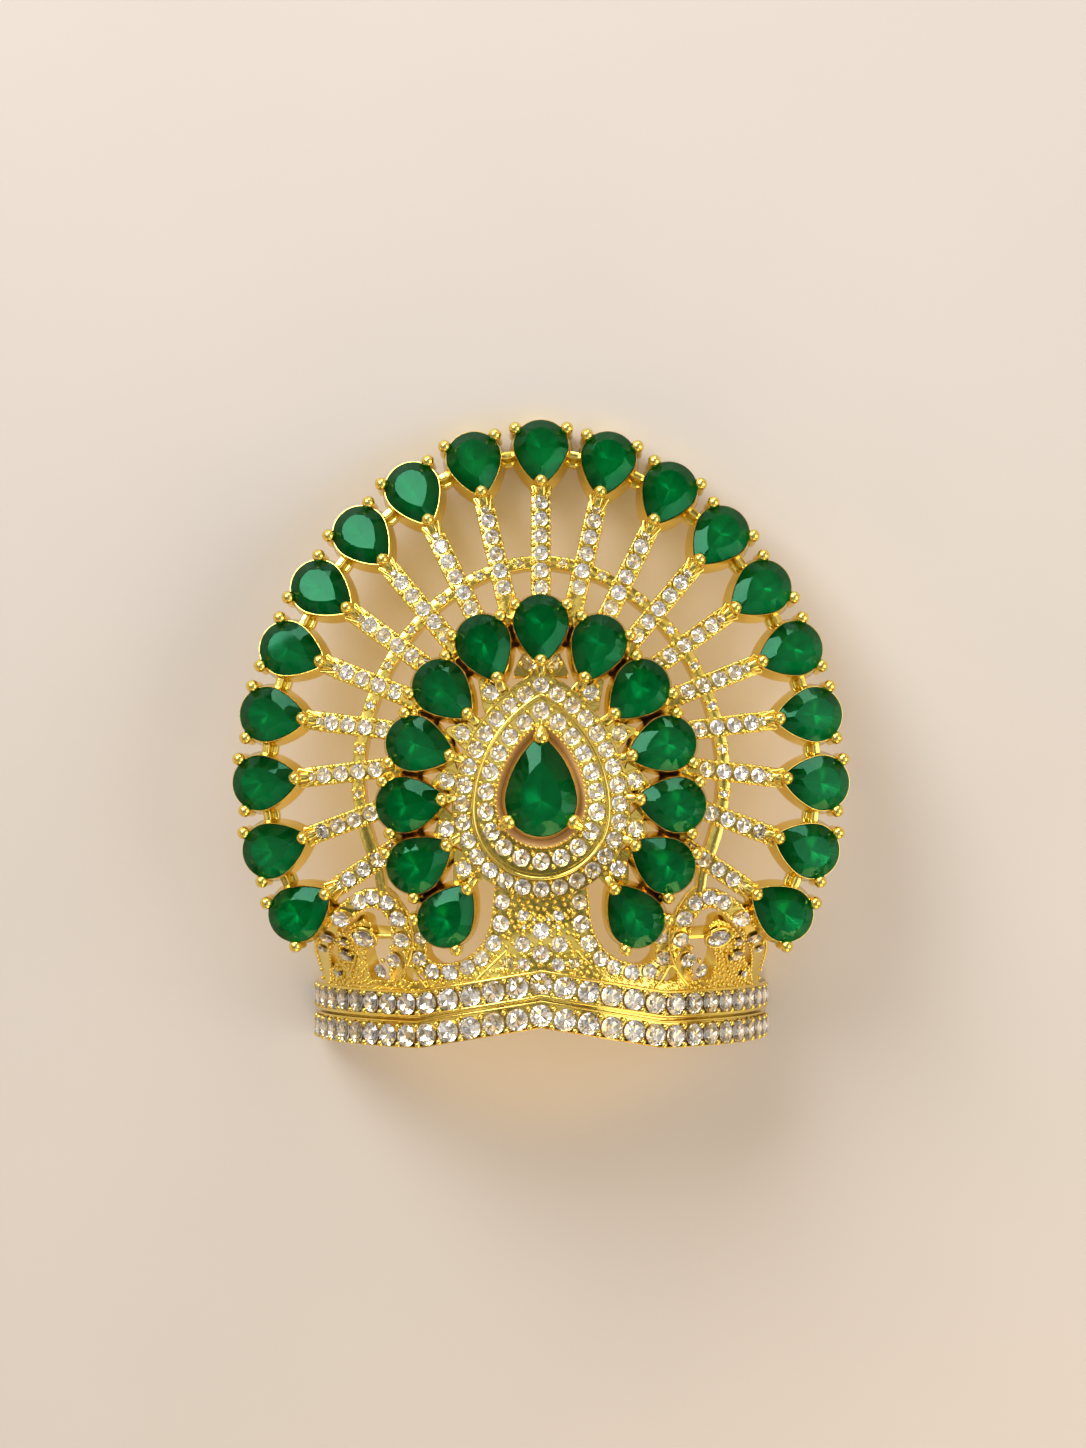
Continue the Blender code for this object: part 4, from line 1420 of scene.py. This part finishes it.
def wires(name, paths, radius, closed=False):
    """Round gold wires along paths of spots."""
    mesh = guide(name, [(path, 0) for path in paths], closed)
    made = grown(mesh, "crown_wire", radius=radius, sides=WIRE_SIDES, material=gold())
    return piece(name, smoothed(made, math.radians(70)), "gold")


class CROWN_OT_fan(bpy.types.Operator):
    """Lay the spokes, the rim between the outer stones and the hoop across the spokes"""

    bl_idname = "crown.fan"
    bl_label = "Fan"

    def execute(self, context):
        lines = [laid(stretch(line, 0, length_of(line), SPOKE_STEPS), 0) for line in spoke_lines()]
        strips("spokes", lines, SPOKE_WIDTH, PLATE_TOP, PLATE_BACK)
        seats = fan_seats()
        self.shoulders(seats)
        reach = context.scene.crown_sizes.pear_width / 2
        for name, inset, width, top in (
            ("rim_bars", 0.0, RIM_WIDTH, RIM_TOP),
            ("rim_ledges", RIM_LEDGE, RIM_LEDGE, RIM_LEDGE_TOP),
        ):
            bars = []
            for start, end in zip(seats, seats[1:]):
                ends = [toward(start, end, reach), toward(end, start, reach)]
                ends = [toward(point, (0, 0), inset) for point in ends]
                bars.append(laid(stretch(ends, 0, math.dist(*ends), 3), 0))
            strips(name, bars, width, top, RIM_BACK)
        hoop = over_the_top(hoop_curve(), seats[-1][1] * HOOP_HALF_WIDTH / FAN_HALF_WIDTH)
        strips("hoop", [laid(hoop, 0)], HOOP_WIDTH, PLATE_TOP, PLATE_BACK)
        gallery = over_the_top(gallery_curve(), row_seats()[-1][1])
        strips("gallery", [laid(gallery, 0)], GALLERY_WIDTH, PLATE_TOP, PLATE_BACK)
        return {"FINISHED"}

    def shoulders(self, seats):
        """The two short ribs beside the claw at the outer end of each spoke."""
        rise = pear_rise()
        lines = []
        for place in seats:
            ahead = -Vector(place).normalized()
            across = Vector((ahead.y, -ahead.x))
            for side in (-1, 1):
                ends = [
                    Vector(place) + ahead * (rise + reach) + across * (side * spread)
                    for reach, spread in SHOULDER
                ]
                lines.append(laid(ends, PLATE_TOP))
        wires("spoke_shoulders", lines, SHOULDER_WIRE)


# Round stones and their beads

def round_stone(name, radius):
    """A round brilliant with its girdle's middle at the origin."""
    def ring(share, level, count, shift=0.0):
        return raised(circle(share * radius, count, shift), level)

    edge = ROUND_EDGE * radius
    table = ring(ROUND_TABLE, edge + ROUND_CROWN * radius, ROUND_SIDES)
    stars = ring(ROUND_STARS, edge + ROUND_STAR_RISE * radius, ROUND_SIDES, 0.5)
    girdle = ring(1.0, edge, 2 * ROUND_SIDES)
    return brilliant(name, table, stars, girdle, 2 * edge, (0, 0, -edge - ROUND_PAVILION * radius))


def paved(name, rows, radius, spread, bead, closed=False):
    """Round stones at even steps along rows, and a pair of gold beads beside each joint.

    Each row is the spots of its stones' line, those of its joints' line and the number of stones.
    """
    joints = 0 if closed else 1
    stone_lines = guide(name, [(line, count) for line, _, count in rows], closed)
    joint_lines = guide(name, [(line, count + joints) for _, line, count in rows], closed)
    stones = grown(
        stone_lines, "crown_row", piece=round_stone("stone", radius), size=1.0, spread=0.0,
        material=clear(),
    )
    piece(f"{name}_stones", stones)
    beaded(f"{name}_beads", joint_lines, "crown_pairs", bead, spread)


def row_of(line, first, pitch, count, level, bead_level, depth=dome_depth):
    """The stones' line, the joints' line and the number of stones, for a row along a curve."""
    last = first + pitch * (count - 1)
    stones = laid(stretch(line, first, last, 3 * count), level, depth)
    joints = laid(stretch(line, first - pitch / 2, last + pitch / 2, 3 * count), bead_level, depth)
    return stones, joints, count


def set_stones(name, entries, surface, depth):
    """Round stones of their own radii on a sheet, each given as its place and radius."""
    places = [
        seat((u, v), surface + STONE_LIFT_SHARE * radius, depth, (0, 0)) for u, v, radius in entries
    ]
    sizes = [radius / UNIT_RADIUS for _, _, radius in entries]
    stone = round_stone("stone", UNIT_RADIUS)
    stones = grown(spots(name, places, sizes), "crown_set", piece=stone, material=clear())
    return piece(f"{name}_stones", stones)


def set_beads(name, places):
    """Gold beads at these places."""
    size = bpy.context.scene.crown_sizes.bead
    return repeated(f"{name}_beads", places, ball("bead", size, 8, 6))


def ringed(name, entries, surface, depth, turn=0.0):
    """Single round stones, each held by four beads."""
    set_stones(name, entries, surface, depth)
    places = []
    for u, v, radius in entries:
        place = seat((u, v), surface + BEAD_LIFT, depth, (0, 0))
        for quarter in range(4):
            around = Matrix.Rotation(turn + math.pi / 2 * quarter, 4, "Z")
            places.append(place @ around @ Matrix.Translation((0, radius + BEAD_GAP, 0)))
    set_beads(name, places)


def lined(name, lines, surface, depth):
    """Lines of round stones of their own radii, with a pair of beads between each two."""
    set_stones(name, [entry for line in lines for entry in line], surface, depth)
    places = []
    for line in lines:
        for (u0, v0, first), (u1, v1, second) in zip(line, line[1:]):
            middle = ((u0 + u1) / 2, (v0 + v1) / 2)
            place = seat(middle, surface + BEAD_LIFT, depth, (u1, v1))
            reach = (first + second) / 2 * LINE_BEAD_SHARE
            places += [place @ Matrix.Translation((side * reach, 0, 0)) for side in (-1, 1)]
    set_beads(name, places)


def edged(name, curves, spread, depth):
    """Small beads at even steps along both edges of the strips that follow these curves."""
    paths = [
        (laid(curve, PLATE_TOP, depth), round(length_of(curve) / EDGE_PITCH)) for curve in curves
    ]
    name = f"{name}_edge_beads"
    beaded(name, guide(name, paths), "crown_pairs", EDGE_BEAD, spread, rings=5)


class CROWN_OT_fan_pave(bpy.types.Operator):
    """Set the round stones of the spokes and the hoop"""

    bl_idname = "crown.fan_pave"
    bl_label = "Fan Stones"

    def execute(self, context):
        sizes = context.scene.crown_sizes
        rows = []
        stones = [*reversed(SPOKE_STONES[1:]), *SPOKE_STONES]
        for place, (first, count) in zip(fan_seats(), stones):
            line = [place, (0, 0)]
            rows.append(row_of(
                line, first, sizes.spoke_pitch, count, SPOKE_STONE_LEVEL, SPOKE_BEAD_LEVEL
            ))
        paved("spoke", rows, sizes.spoke_stone, SPOKE_BEAD_SPREAD, sizes.bead)
        lines = [
            stretch(line, SPOKE_EDGE_START, length_of(line), SPOKE_STEPS) for line in spoke_lines()
        ]
        edged("spoke", lines, SPOKE_WIDTH / 2 - EDGE_BEAD_INSET, dome_depth)
        seats = fan_seats()
        tips = [(*toward(place, (0, 0), SPOKE_TIP), SPOKE_TIP_STONE) for place in seats]
        set_stones("spoke_tip", [tip for tip in tips if abs(tip[0]) > TINY], PLATE_TOP, dome_depth)
        entries = []
        for first, second in list(zip(seats, seats[1:]))[1:-1]:
            aim = Vector(first).normalized() + Vector(second).normalized()
            entries.append((*ahead_on(hoop_curve(), aim), HOOP_STONE))
        ringed("hoop", entries, PLATE_TOP, dome_depth, turn=math.pi / 4)
        return {"FINISHED"}


# The medallion

def opening():
    """The outline of the medallion's opening."""
    return pear(OPENING_HALF_WIDTH, OPENING_RISE, OUTLINE_STEPS, centre_v=OPENING_V)


def tier(name, inner, outer, profile):
    """A ring of plate between two outlines, bent on the dome.

    The profile gives shares of the way from the inner outline to the outer one, and levels.
    """
    inner, outer = evenly(inner, OUTLINE_STEPS), evenly(outer, OUTLINE_STEPS)
    rings = []
    for share, level in profile:
        points = [tuple(Vector(one).lerp(Vector(two), share)) for one, two in zip(inner, outer)]
        rings.append([seat(point, level).translation for point in points])
    return loft(name, rings, closed=True)


class CROWN_OT_medallion(bpy.types.Operator):
    """Build the two tiers round the middle stone and their bridges to the inner row"""

    bl_idname = "crown.medallion"
    bl_label = "Medallion"

    def execute(self, context):
        hole = opening()
        upper = pear(UPPER_TIER_HALF_WIDTH, UPPER_TIER_RISE, OUTLINE_STEPS, centre_v=TIER_V)
        lower = pear(LOWER_TIER_HALF_WIDTH, LOWER_TIER_RISE, OUTLINE_STEPS, centre_v=TIER_V)
        top = UPPER_TIER_TOP
        mesh = tier("upper_tier", hole, upper, (
            (0, TIER_BACK), (0, top - 0.0001), (0.03, top), (0.09, top), (0.12, top - 0.0003),
            (0.86, top - 0.0003), (0.88, top), (0.97, top), (1.0, top - 0.0001), (1.0, TIER_BACK),
        ))
        golden("upper_tier", mesh)
        foot = pear(
            CENTRE_COLLAR_HALF_WIDTH, CENTRE_COLLAR_RISE, OUTLINE_STEPS, CENTRE_SHOULDER,
            centre_v=CENTRE_STONE_V,
        )
        mesh = tier("opening_wall", foot, hole, (
            (0, -0.0006), (0, 0.0002), (0.5, 0.0006), (1.0, top - 0.0002), (1.0, TIER_BACK),
        ))
        # The opening's wall is gold with painted shade and a painted glow.
        piece("opening_wall", smoothed(mesh), "gold", gold_with_painted_shade())
        line = [seat(point, top).translation for point in evenly(upper, OUTLINE_STEPS)]
        ridge = [(place, Vector((0, 0, 1))) for place in line]
        wires("ridge_wire", [ridge], RIDGE_WIRE, closed=True)
        top = LOWER_TIER_TOP
        mesh = tier("lower_tier", upper, lower, (
            (-0.1, TIER_BACK), (-0.1, top - 0.0003), (0.88, top - 0.0003), (0.90, top), (0.97, top),
            (1.0, top - 0.0001), (1.0, TIER_BACK),
        ))
        golden("lower_tier", mesh)
        edge = half_pear(
            LOWER_TIER_HALF_WIDTH - BRIDGE_WIDTH, LOWER_TIER_RISE - BRIDGE_WIDTH, TIER_V
        )
        lines = []
        for place in row_seats():
            start = toward(place, (0, ROW_FOCUS_V), pear_rise())
            lines.append(laid([start, nearest_on(edge, start)], 0))
        strips("bridges", lines, BRIDGE_WIDTH, BRIDGE_TOP, BRIDGE_BACK)
        return {"FINISHED"}


class CROWN_OT_medallion_pave(bpy.types.Operator):
    """Set the two halos of round stones and the stones between the inner row and the medallion"""

    bl_idname = "crown.medallion_pave"
    bl_label = "Medallion Stones"

    def execute(self, context):
        sizes = context.scene.crown_sizes
        for name, (half_width, rise, centre_v), count, radius, level in HALOS:
            outline = pear(half_width, rise, 200, centre_v=centre_v)
            stones = laid(evenly(outline, count), level)
            joints = laid(evenly(outline, count, 0.5), level)
            row = (stones, joints, count)
            paved(name, [row], radius, HALO_BEAD_SPREAD, sizes.bead, closed=True)
        edge = laid(evenly(opening(), OUTLINE_STEPS), UPPER_TIER_TOP)
        line = guide("opening_beads", [(edge, OPENING_BEADS)], closed=True)
        beaded("opening_beads", line, "crown_row", OPENING_BEAD, rings=5)
        curve = half_pear(ACCENT_HALF_WIDTH, ACCENT_RISE, TIER_V)
        seats = row_seats()
        entries = []
        for first, second in zip(seats, seats[1:]):
            middle = Vector(first).lerp(Vector(second), 0.5)
            entries.append((*nearest_on(curve, middle), ACCENT_STONE))
        ringed("accent", entries, ACCENT_TOP, dome_depth)
        rings = [
            raised(circle(ACCENT_RADIUS * share, 16), level) for share, level in ACCENT_CUP_RINGS
        ]
        places = [seat((u, v), ACCENT_TOP, focus=(0, 0)) for u, v, _ in entries]
        repeated("accent_cups", places, loft("cup", rings))
        rings = [
            [(x * share, y * share, level) for x, y in ACCENT_PLATE]
            for share, level in ACCENT_PLATE_RINGS
        ]
        repeated("accent_plates", places, loft("plate", rings))
        return {"FINISHED"}


# The openwork below the fan

def skirt_curve(shares):
    """The points of one of the openwork's curves on the right side."""
    top = TIER_V - LOWER_TIER_HALF_WIDTH
    return [(across * BAND_RADIUS, top + down * (BAND_TOP_V - top)) for across, down in shares]


def lobe_outline():
    """The outline of the plate inside the right curl."""
    corners = skirt_curve(LOBE)
    return smooth([*corners, corners[0]])[:-1]


def notch(arc):
    """How far the band rises at this distance along it from its front."""
    return NOTCH_RISE * max(0.0, 1 - abs(arc) / NOTCH_REACH)


def plate(name, outline, top, back, depth):
    """A flat outline given thickness, cut into cells and bent on a sheet."""
    curve = bpy.data.curves.new(name, "CURVE")
    curve.dimensions = "2D"
    curve.fill_mode = "BOTH"
    curve.extrude = (top - back) / 2
    spline = curve.splines.new("POLY")
    spline.points.add(len(outline) - 1)
    spline.use_cyclic_u = True
    for point, (u, v) in zip(spline.points, outline):
        point.co = (u, v, 0, 1)
    holder = linked(name, curve)
    mesh = evaluated(holder)
    bpy.data.objects.remove(holder)
    bm = bmesh.new()
    bm.from_mesh(mesh)
    bmesh.ops.remove_doubles(bm, verts=bm.verts, dist=WELD)
    for axis in range(2):
        places = [point[axis] for point in outline]
        normal = Vector((axis == 0, axis == 1, 0))
        for step in range(1, int((max(places) - min(places)) / PLATE_CELL) + 1):
            at = normal * (min(places) + step * PLATE_CELL)
            bmesh.ops.bisect_plane(
                bm, geom=[*bm.verts, *bm.edges, *bm.faces], plane_co=at, plane_no=normal
            )
    for vertex in bm.verts:
        u, v, level = vertex.co
        vertex.co = seat((u, v), level + (top + back) / 2, depth).translation
    return mesh_from(bm, name)


def base_line():
    """The line along the band's top edge that the openwork stands on."""
    right = []
    for step in range(BASE_STEPS + 1):
        u = BASE_HALF_LENGTH * step / BASE_STEPS
        arc = BAND_RADIUS * math.asin(u / BAND_RADIUS)
        right.append((u, BAND_TOP_V + notch(arc) + BASE_LIFT))
    return both_sides(right)


class CROWN_OT_skirt(bpy.types.Operator):
    """Bend the arms, curls and plates between the fan and the band"""

    bl_idname = "crown.skirt"
    bl_label = "Openwork"

    def execute(self, context):
        paths = [laid(base_line(), 0, skirt_depth)]
        strips("base", paths, BASE_WIDTH, PLATE_TOP, PLATE_BACK)
        for name, shares, width in (
            ("arms", ARM, ARM_WIDTH), ("curls", CURL, CURL_WIDTH), ("struts", STRUT, STRUT_WIDTH),
            ("pins", PIN, PIN_WIDTH),
        ):
            curve = smooth(skirt_curve(shares))
            paths = [laid(side, 0, skirt_depth) for side in (curve, flipped(curve))]
            strips(name, paths, width, PLATE_TOP, PLATE_BACK)
        lobe = lobe_outline()
        panel = both_sides(skirt_curve(PANEL))
        for name, outline in (("lobe_right", lobe), ("lobe_left", flipped(lobe)), ("panel", panel)):
            golden(name, plate(name, outline, PLATE_TOP, PLATE_BACK, skirt_depth))
        return {"FINISHED"}


def skirt_stones(shares):
    """Stones of the openwork on the right side, with their radii."""
    places = skirt_curve([(across, down) for across, down, _ in shares])
    return [(*place, radius) for place, (_, _, radius) in zip(places, shares)]


def mirrored(entries):
    """The same stones on the other side of the crown. One on the middle stays alone."""
    return [(-u, v, radius) for u, v, radius in entries if u > TINY]


class CROWN_OT_skirt_pave(bpy.types.Operator):
    """Set the stones, wires and grains of the openwork"""

    bl_idname = "crown.skirt_pave"
    bl_label = "Openwork Stones"

    def execute(self, context):
        lines = []
        for shares in (ARM_STONES, CURL_STONES):
            line = skirt_stones(shares)
            lines += [line, mirrored(line)]
        lined("openwork", lines, PLATE_TOP, skirt_depth)
        curves = []
        for shares in (ARM, CURL):
            curve = smooth(skirt_curve(shares))
            curves += [curve, flipped(curve)]
        edged("openwork", curves, ARM_WIDTH / 2 - EDGE_BEAD_INSET, skirt_depth)
        for name, shares in (("lobe", LOBE_STONES), ("panel", PANEL_STONES)):
            entries = skirt_stones(shares)
            ringed(name, [*entries, *mirrored(entries)], PLATE_TOP, skirt_depth)
        self.eyes()
        paths = []
        for shares in (CURL_WIRE, TENT_WIRE, LOBE_WIRE, PANEL_WIRE):
            curve = skirt_curve(shares)
            if shares is not PANEL_WIRE:
                curve = smooth(curve)
            for side in (curve, flipped(curve)):
                paths.append(laid(side, PLATE_TOP + OPENWORK_WIRE_LIFT, skirt_depth))
        wires("openwork_wires", paths, OPENWORK_WIRE)
        self.grains()
        return {"FINISHED"}

    def eyes(self):
        """The round wire and the single bead beside the large stone in each lobe."""
        rings, beads = [], []
        for side in (1, -1):
            (u, v), (bead_u, bead_v) = skirt_curve([EYE, EYE_BEAD])
            place = seat((side * u, v), PLATE_TOP + BEAD_LIFT, skirt_depth)
            ring = circle(EYE_WIRE_REACH, 32)
            rings.append([(place @ Vector((x, y, 0)), place.col[2].xyz) for x, y in ring])
            beads.append(seat((side * bead_u, bead_v), PLATE_TOP + BEAD_LIFT, skirt_depth))
        wires("eye_wires", rings, EYE_WIRE, closed=True)
        repeated("eye_beads", beads, ball("bead", EYE_BEAD_RADIUS))

    def grains(self):
        """Small grains over the gold that the stones leave free."""
        lobe = lobe_outline()
        edge = base_line()
        base = [(u, v + BASE_WIDTH / 2) for u, v in edge]
        base += [(u, v - BASE_WIDTH / 2) for u, v in reversed(edge)]
        outlines = [lobe, flipped(lobe), both_sides(skirt_curve(PANEL)), base]
        sheets = [plate("sheet", outline, PLATE_TOP, PLATE_TOP, skirt_depth) for outline in outlines]
        entries = []
        for shares in (ARM_STONES, CURL_STONES, LOBE_STONES, PANEL_STONES):
            line = skirt_stones(shares)
            entries += [*line, *mirrored(line)]
        places = [seat((u, v), PLATE_TOP, skirt_depth) for u, v, _ in entries]
        stones = spots("stones", places, [radius / UNIT_RADIUS for _, _, radius in entries])
        made = grown(
            joined("openwork_grains", sheets), "crown_grains", piece=ball("grain", GRAIN, 8, 5),
            stones=stones, gap=GRAIN_GAP, spacing=GRAIN_SPACING, seed=GRAIN_SEED, material=gold(),
        )
        piece("openwork_grains", smoothed(made), "gold")


# The band

def band_spot(arc, v, rise):
    """A place this far outside the band's face and the direction out of it."""
    angle = arc / BAND_RADIUS
    up = Vector((math.sin(angle), 0, math.cos(angle)))
    return up * (BAND_RADIUS + rise) + Vector((0, v + notch(arc), -BAND_RADIUS)), up


def band_line(half, v, rise=BAND_RIDGE):
    """Places along the band, this far to both sides of its front."""
    arcs = [half * (2 * step / BAND_STEPS - 1) for step in range(BAND_STEPS + 1)]
    return [band_spot(arc, v, rise) for arc in arcs]


class CROWN_OT_band(bpy.types.Operator):
    """Turn the half ring of the band with its three ridges and its notch"""

    bl_idname = "crown.band"
    bl_label = "Band"

    def execute(self, context):
        half = BAND_STONES * BAND_PITCH / 2 * BAND_RADIUS / (BAND_RADIUS + BAND_RIDGE)
        lines = [band_line(half, BAND_TOP_V + v, rise) for rise, v in BAND_PROFILE]
        rings = [[place for place, _ in row] for row in zip(*lines)]
        golden("band", loft("band", rings))
        for name, v, radius in BAND_WIRES:
            wires(name, [band_line(half, BAND_TOP_V + v)], radius)
        return {"FINISHED"}


class CROWN_OT_band_pave(bpy.types.Operator):
    """Set the two rows of round stones of the band"""

    bl_idname = "crown.band_pave"
    bl_label = "Band Stones"

    def execute(self, context):
        sizes = context.scene.crown_sizes
        pitch = BAND_PITCH * BAND_RADIUS / (BAND_RADIUS + BAND_RIDGE)
        rows = []
        for side in (-1, 1):
            v = BAND_TOP_V - BAND_HEIGHT / 2 + side * BAND_ROW_SPACING / 2
            stones = band_line((BAND_STONES - 1) * pitch / 2, v)
            joints = band_line(BAND_STONES * pitch / 2 - BAND_END_GAP, v)
            rows.append((stones, joints, BAND_STONES))
        paved("band", rows, sizes.band_stone, BAND_BEAD_SPREAD, sizes.bead * BAND_BEAD_SHARE)
        return {"FINISHED"}


# The stage

class CROWN_OT_studio(bpy.types.Operator):
    """Set up the pale floor, the soft lights and the camera"""

    bl_idname = "crown.studio"
    bl_label = "Studio"

    def execute(self, context):
        studio = context.scene.crown_studio
        place = rest_place()
        self.floor(studio)
        self.world(context.scene)
        for name, spot, size, power, colour in LIGHTS:
            self.light(name, place, spot, size, getattr(studio, power), colour)
        glow = self.light("glow", place, (0, 0, 0), GLOW_WIDTH, studio.glow_power, GLOW_COLOUR)
        glow.data.shape = "ELLIPSE"
        glow.data.size_y = GLOW_LENGTH
        middle = place @ Vector((0, GLOW_V, 0))
        glow.matrix_world = Matrix.Translation((middle.x, middle.y, GLOW_HEIGHT))
        glow.visible_camera = False
        glow.visible_glossy = False
        camera = bpy.data.cameras.new("camera")
        camera.lens = studio.lens
        holder = linked("camera", camera)
        above = Matrix.Translation((*CAMERA_SPOT, studio.camera_distance))
        holder.matrix_world = place @ above
        context.scene.camera = holder
        return {"FINISHED"}

    def floor(self, studio):
        """A plain pale floor, faintly clouded."""
        bm = bmesh.new()
        bmesh.ops.create_grid(bm, x_segments=1, y_segments=1, size=2.0)
        mesh = mesh_from(bm, "floor")

        def build(tree, shader):
            cloud = noise(tree, 0.03).outputs["Fac"]
            shade = [0.94 * part for part in studio.floor_colour]
            tone = mixed(tree, cloud, studio.floor_colour, shade)
            feed(tree, shader, {"Base Color": tone, "Roughness": 0.45})

        mesh.materials.append(material_named("pale_floor", build))
        linked("floor", mesh)

    def world(self, scene):
        """A soft studio sky in light and dark patches, warm near the horizon."""
        scene.world = bpy.data.worlds.new("studio")
        scene.world.use_nodes = True
        tree = scene.world.node_tree
        shader = tree.nodes["Background"]
        place = add(tree, "ShaderNodeTexCoord").outputs["Generated"]
        height = add(tree, "ShaderNodeSeparateXYZ", {"Vector": place}).outputs["Z"]
        sky = add(tree, "ShaderNodeFloatCurve", {"Value": height})
        points = sky.mapping.curves[0].points
        for level, light in SKY[1:-1]:
            points.new(level, light)
        for point, (level, light) in zip(points, SKY):
            point.location = (level, light)
        sky.mapping.update()
        patches = add(tree, "ShaderNodeTexNoise", {"Vector": place, "Scale": 5.0, "Detail": 0.0})
        share = add(tree, "ShaderNodeMapRange", {
            "Value": patches.outputs["Fac"], "From Min": 0.42, "From Max": 0.58, "To Min": 0.15,
            "To Max": 1.6,
        })
        feed(tree, shader, {
            "Strength": calculated(tree, "MULTIPLY", sky.outputs[0], share.outputs[0]),
            "Color": mixed(tree, height, (1.0, 0.62, 0.27), WHITE),
        })
        scene.view_settings.view_transform = "Standard"

    def light(self, name, place, spot, size, power, colour):
        """A square soft light at a place of the crown's frame, turned to the crown."""
        lamp = bpy.data.lights.new(name, "AREA")
        lamp.size = size
        lamp.energy = power
        lamp.color = colour
        obj = linked(name, lamp)
        obj.location = place @ Vector(spot)
        aim = place.translation - obj.location
        obj.rotation_euler = aim.to_track_quat("-Z", "Y").to_euler()
        return obj


class CROWN_PT_panel(bpy.types.Panel):
    """Shows the crown's settings and the steps that dress it"""

    bl_label = "Crown"
    bl_idname = "CROWN_PT_panel"
    bl_space_type = "VIEW_3D"
    bl_region_type = "UI"
    bl_category = "Crown"

    def draw(self, context):
        scene = context.scene
        for group in (scene.crown_sizes, scene.crown_finish, scene.crown_studio):
            column = self.layout.column(align=True)
            for name in group.__annotations__:
                column.prop(group, name)
        column = self.layout.column(align=True)
        for step in STEPS:
            column.operator(step.bl_idname)


GROUPS = (CrownSizes, CrownFinish, CrownStudio)
STEPS = (
    CROWN_OT_pear_stones, CROWN_OT_settings, CROWN_OT_fan, CROWN_OT_fan_pave, CROWN_OT_medallion,
    CROWN_OT_medallion_pave, CROWN_OT_skirt, CROWN_OT_skirt_pave, CROWN_OT_band,
    CROWN_OT_band_pave, CROWN_OT_studio,
)


def register():
    """Adds the crown's settings, steps and panel to Blender."""
    for cls in (*GROUPS, *STEPS, CROWN_PT_panel):
        bpy.utils.register_class(cls)
    bpy.types.Scene.crown_sizes = PointerProperty(type=CrownSizes)
    bpy.types.Scene.crown_finish = PointerProperty(type=CrownFinish)
    bpy.types.Scene.crown_studio = PointerProperty(type=CrownStudio)


def unregister():
    """Takes them out again."""
    del bpy.types.Scene.crown_sizes
    del bpy.types.Scene.crown_finish
    del bpy.types.Scene.crown_studio
    for cls in (CROWN_PT_panel, *reversed(STEPS), *reversed(GROUPS)):
        bpy.utils.unregister_class(cls)


def main():
    """Dresses the crown."""
    register()
    bpy.ops.crown.pear_stones()
    bpy.ops.crown.settings()
    bpy.ops.crown.fan()
    bpy.ops.crown.fan_pave()
    bpy.ops.crown.medallion()
    bpy.ops.crown.medallion_pave()
    bpy.ops.crown.skirt()
    bpy.ops.crown.skirt_pave()
    bpy.ops.crown.band()
    bpy.ops.crown.band_pave()
    bpy.ops.crown.studio()


if __name__ == "__main__":
    main()
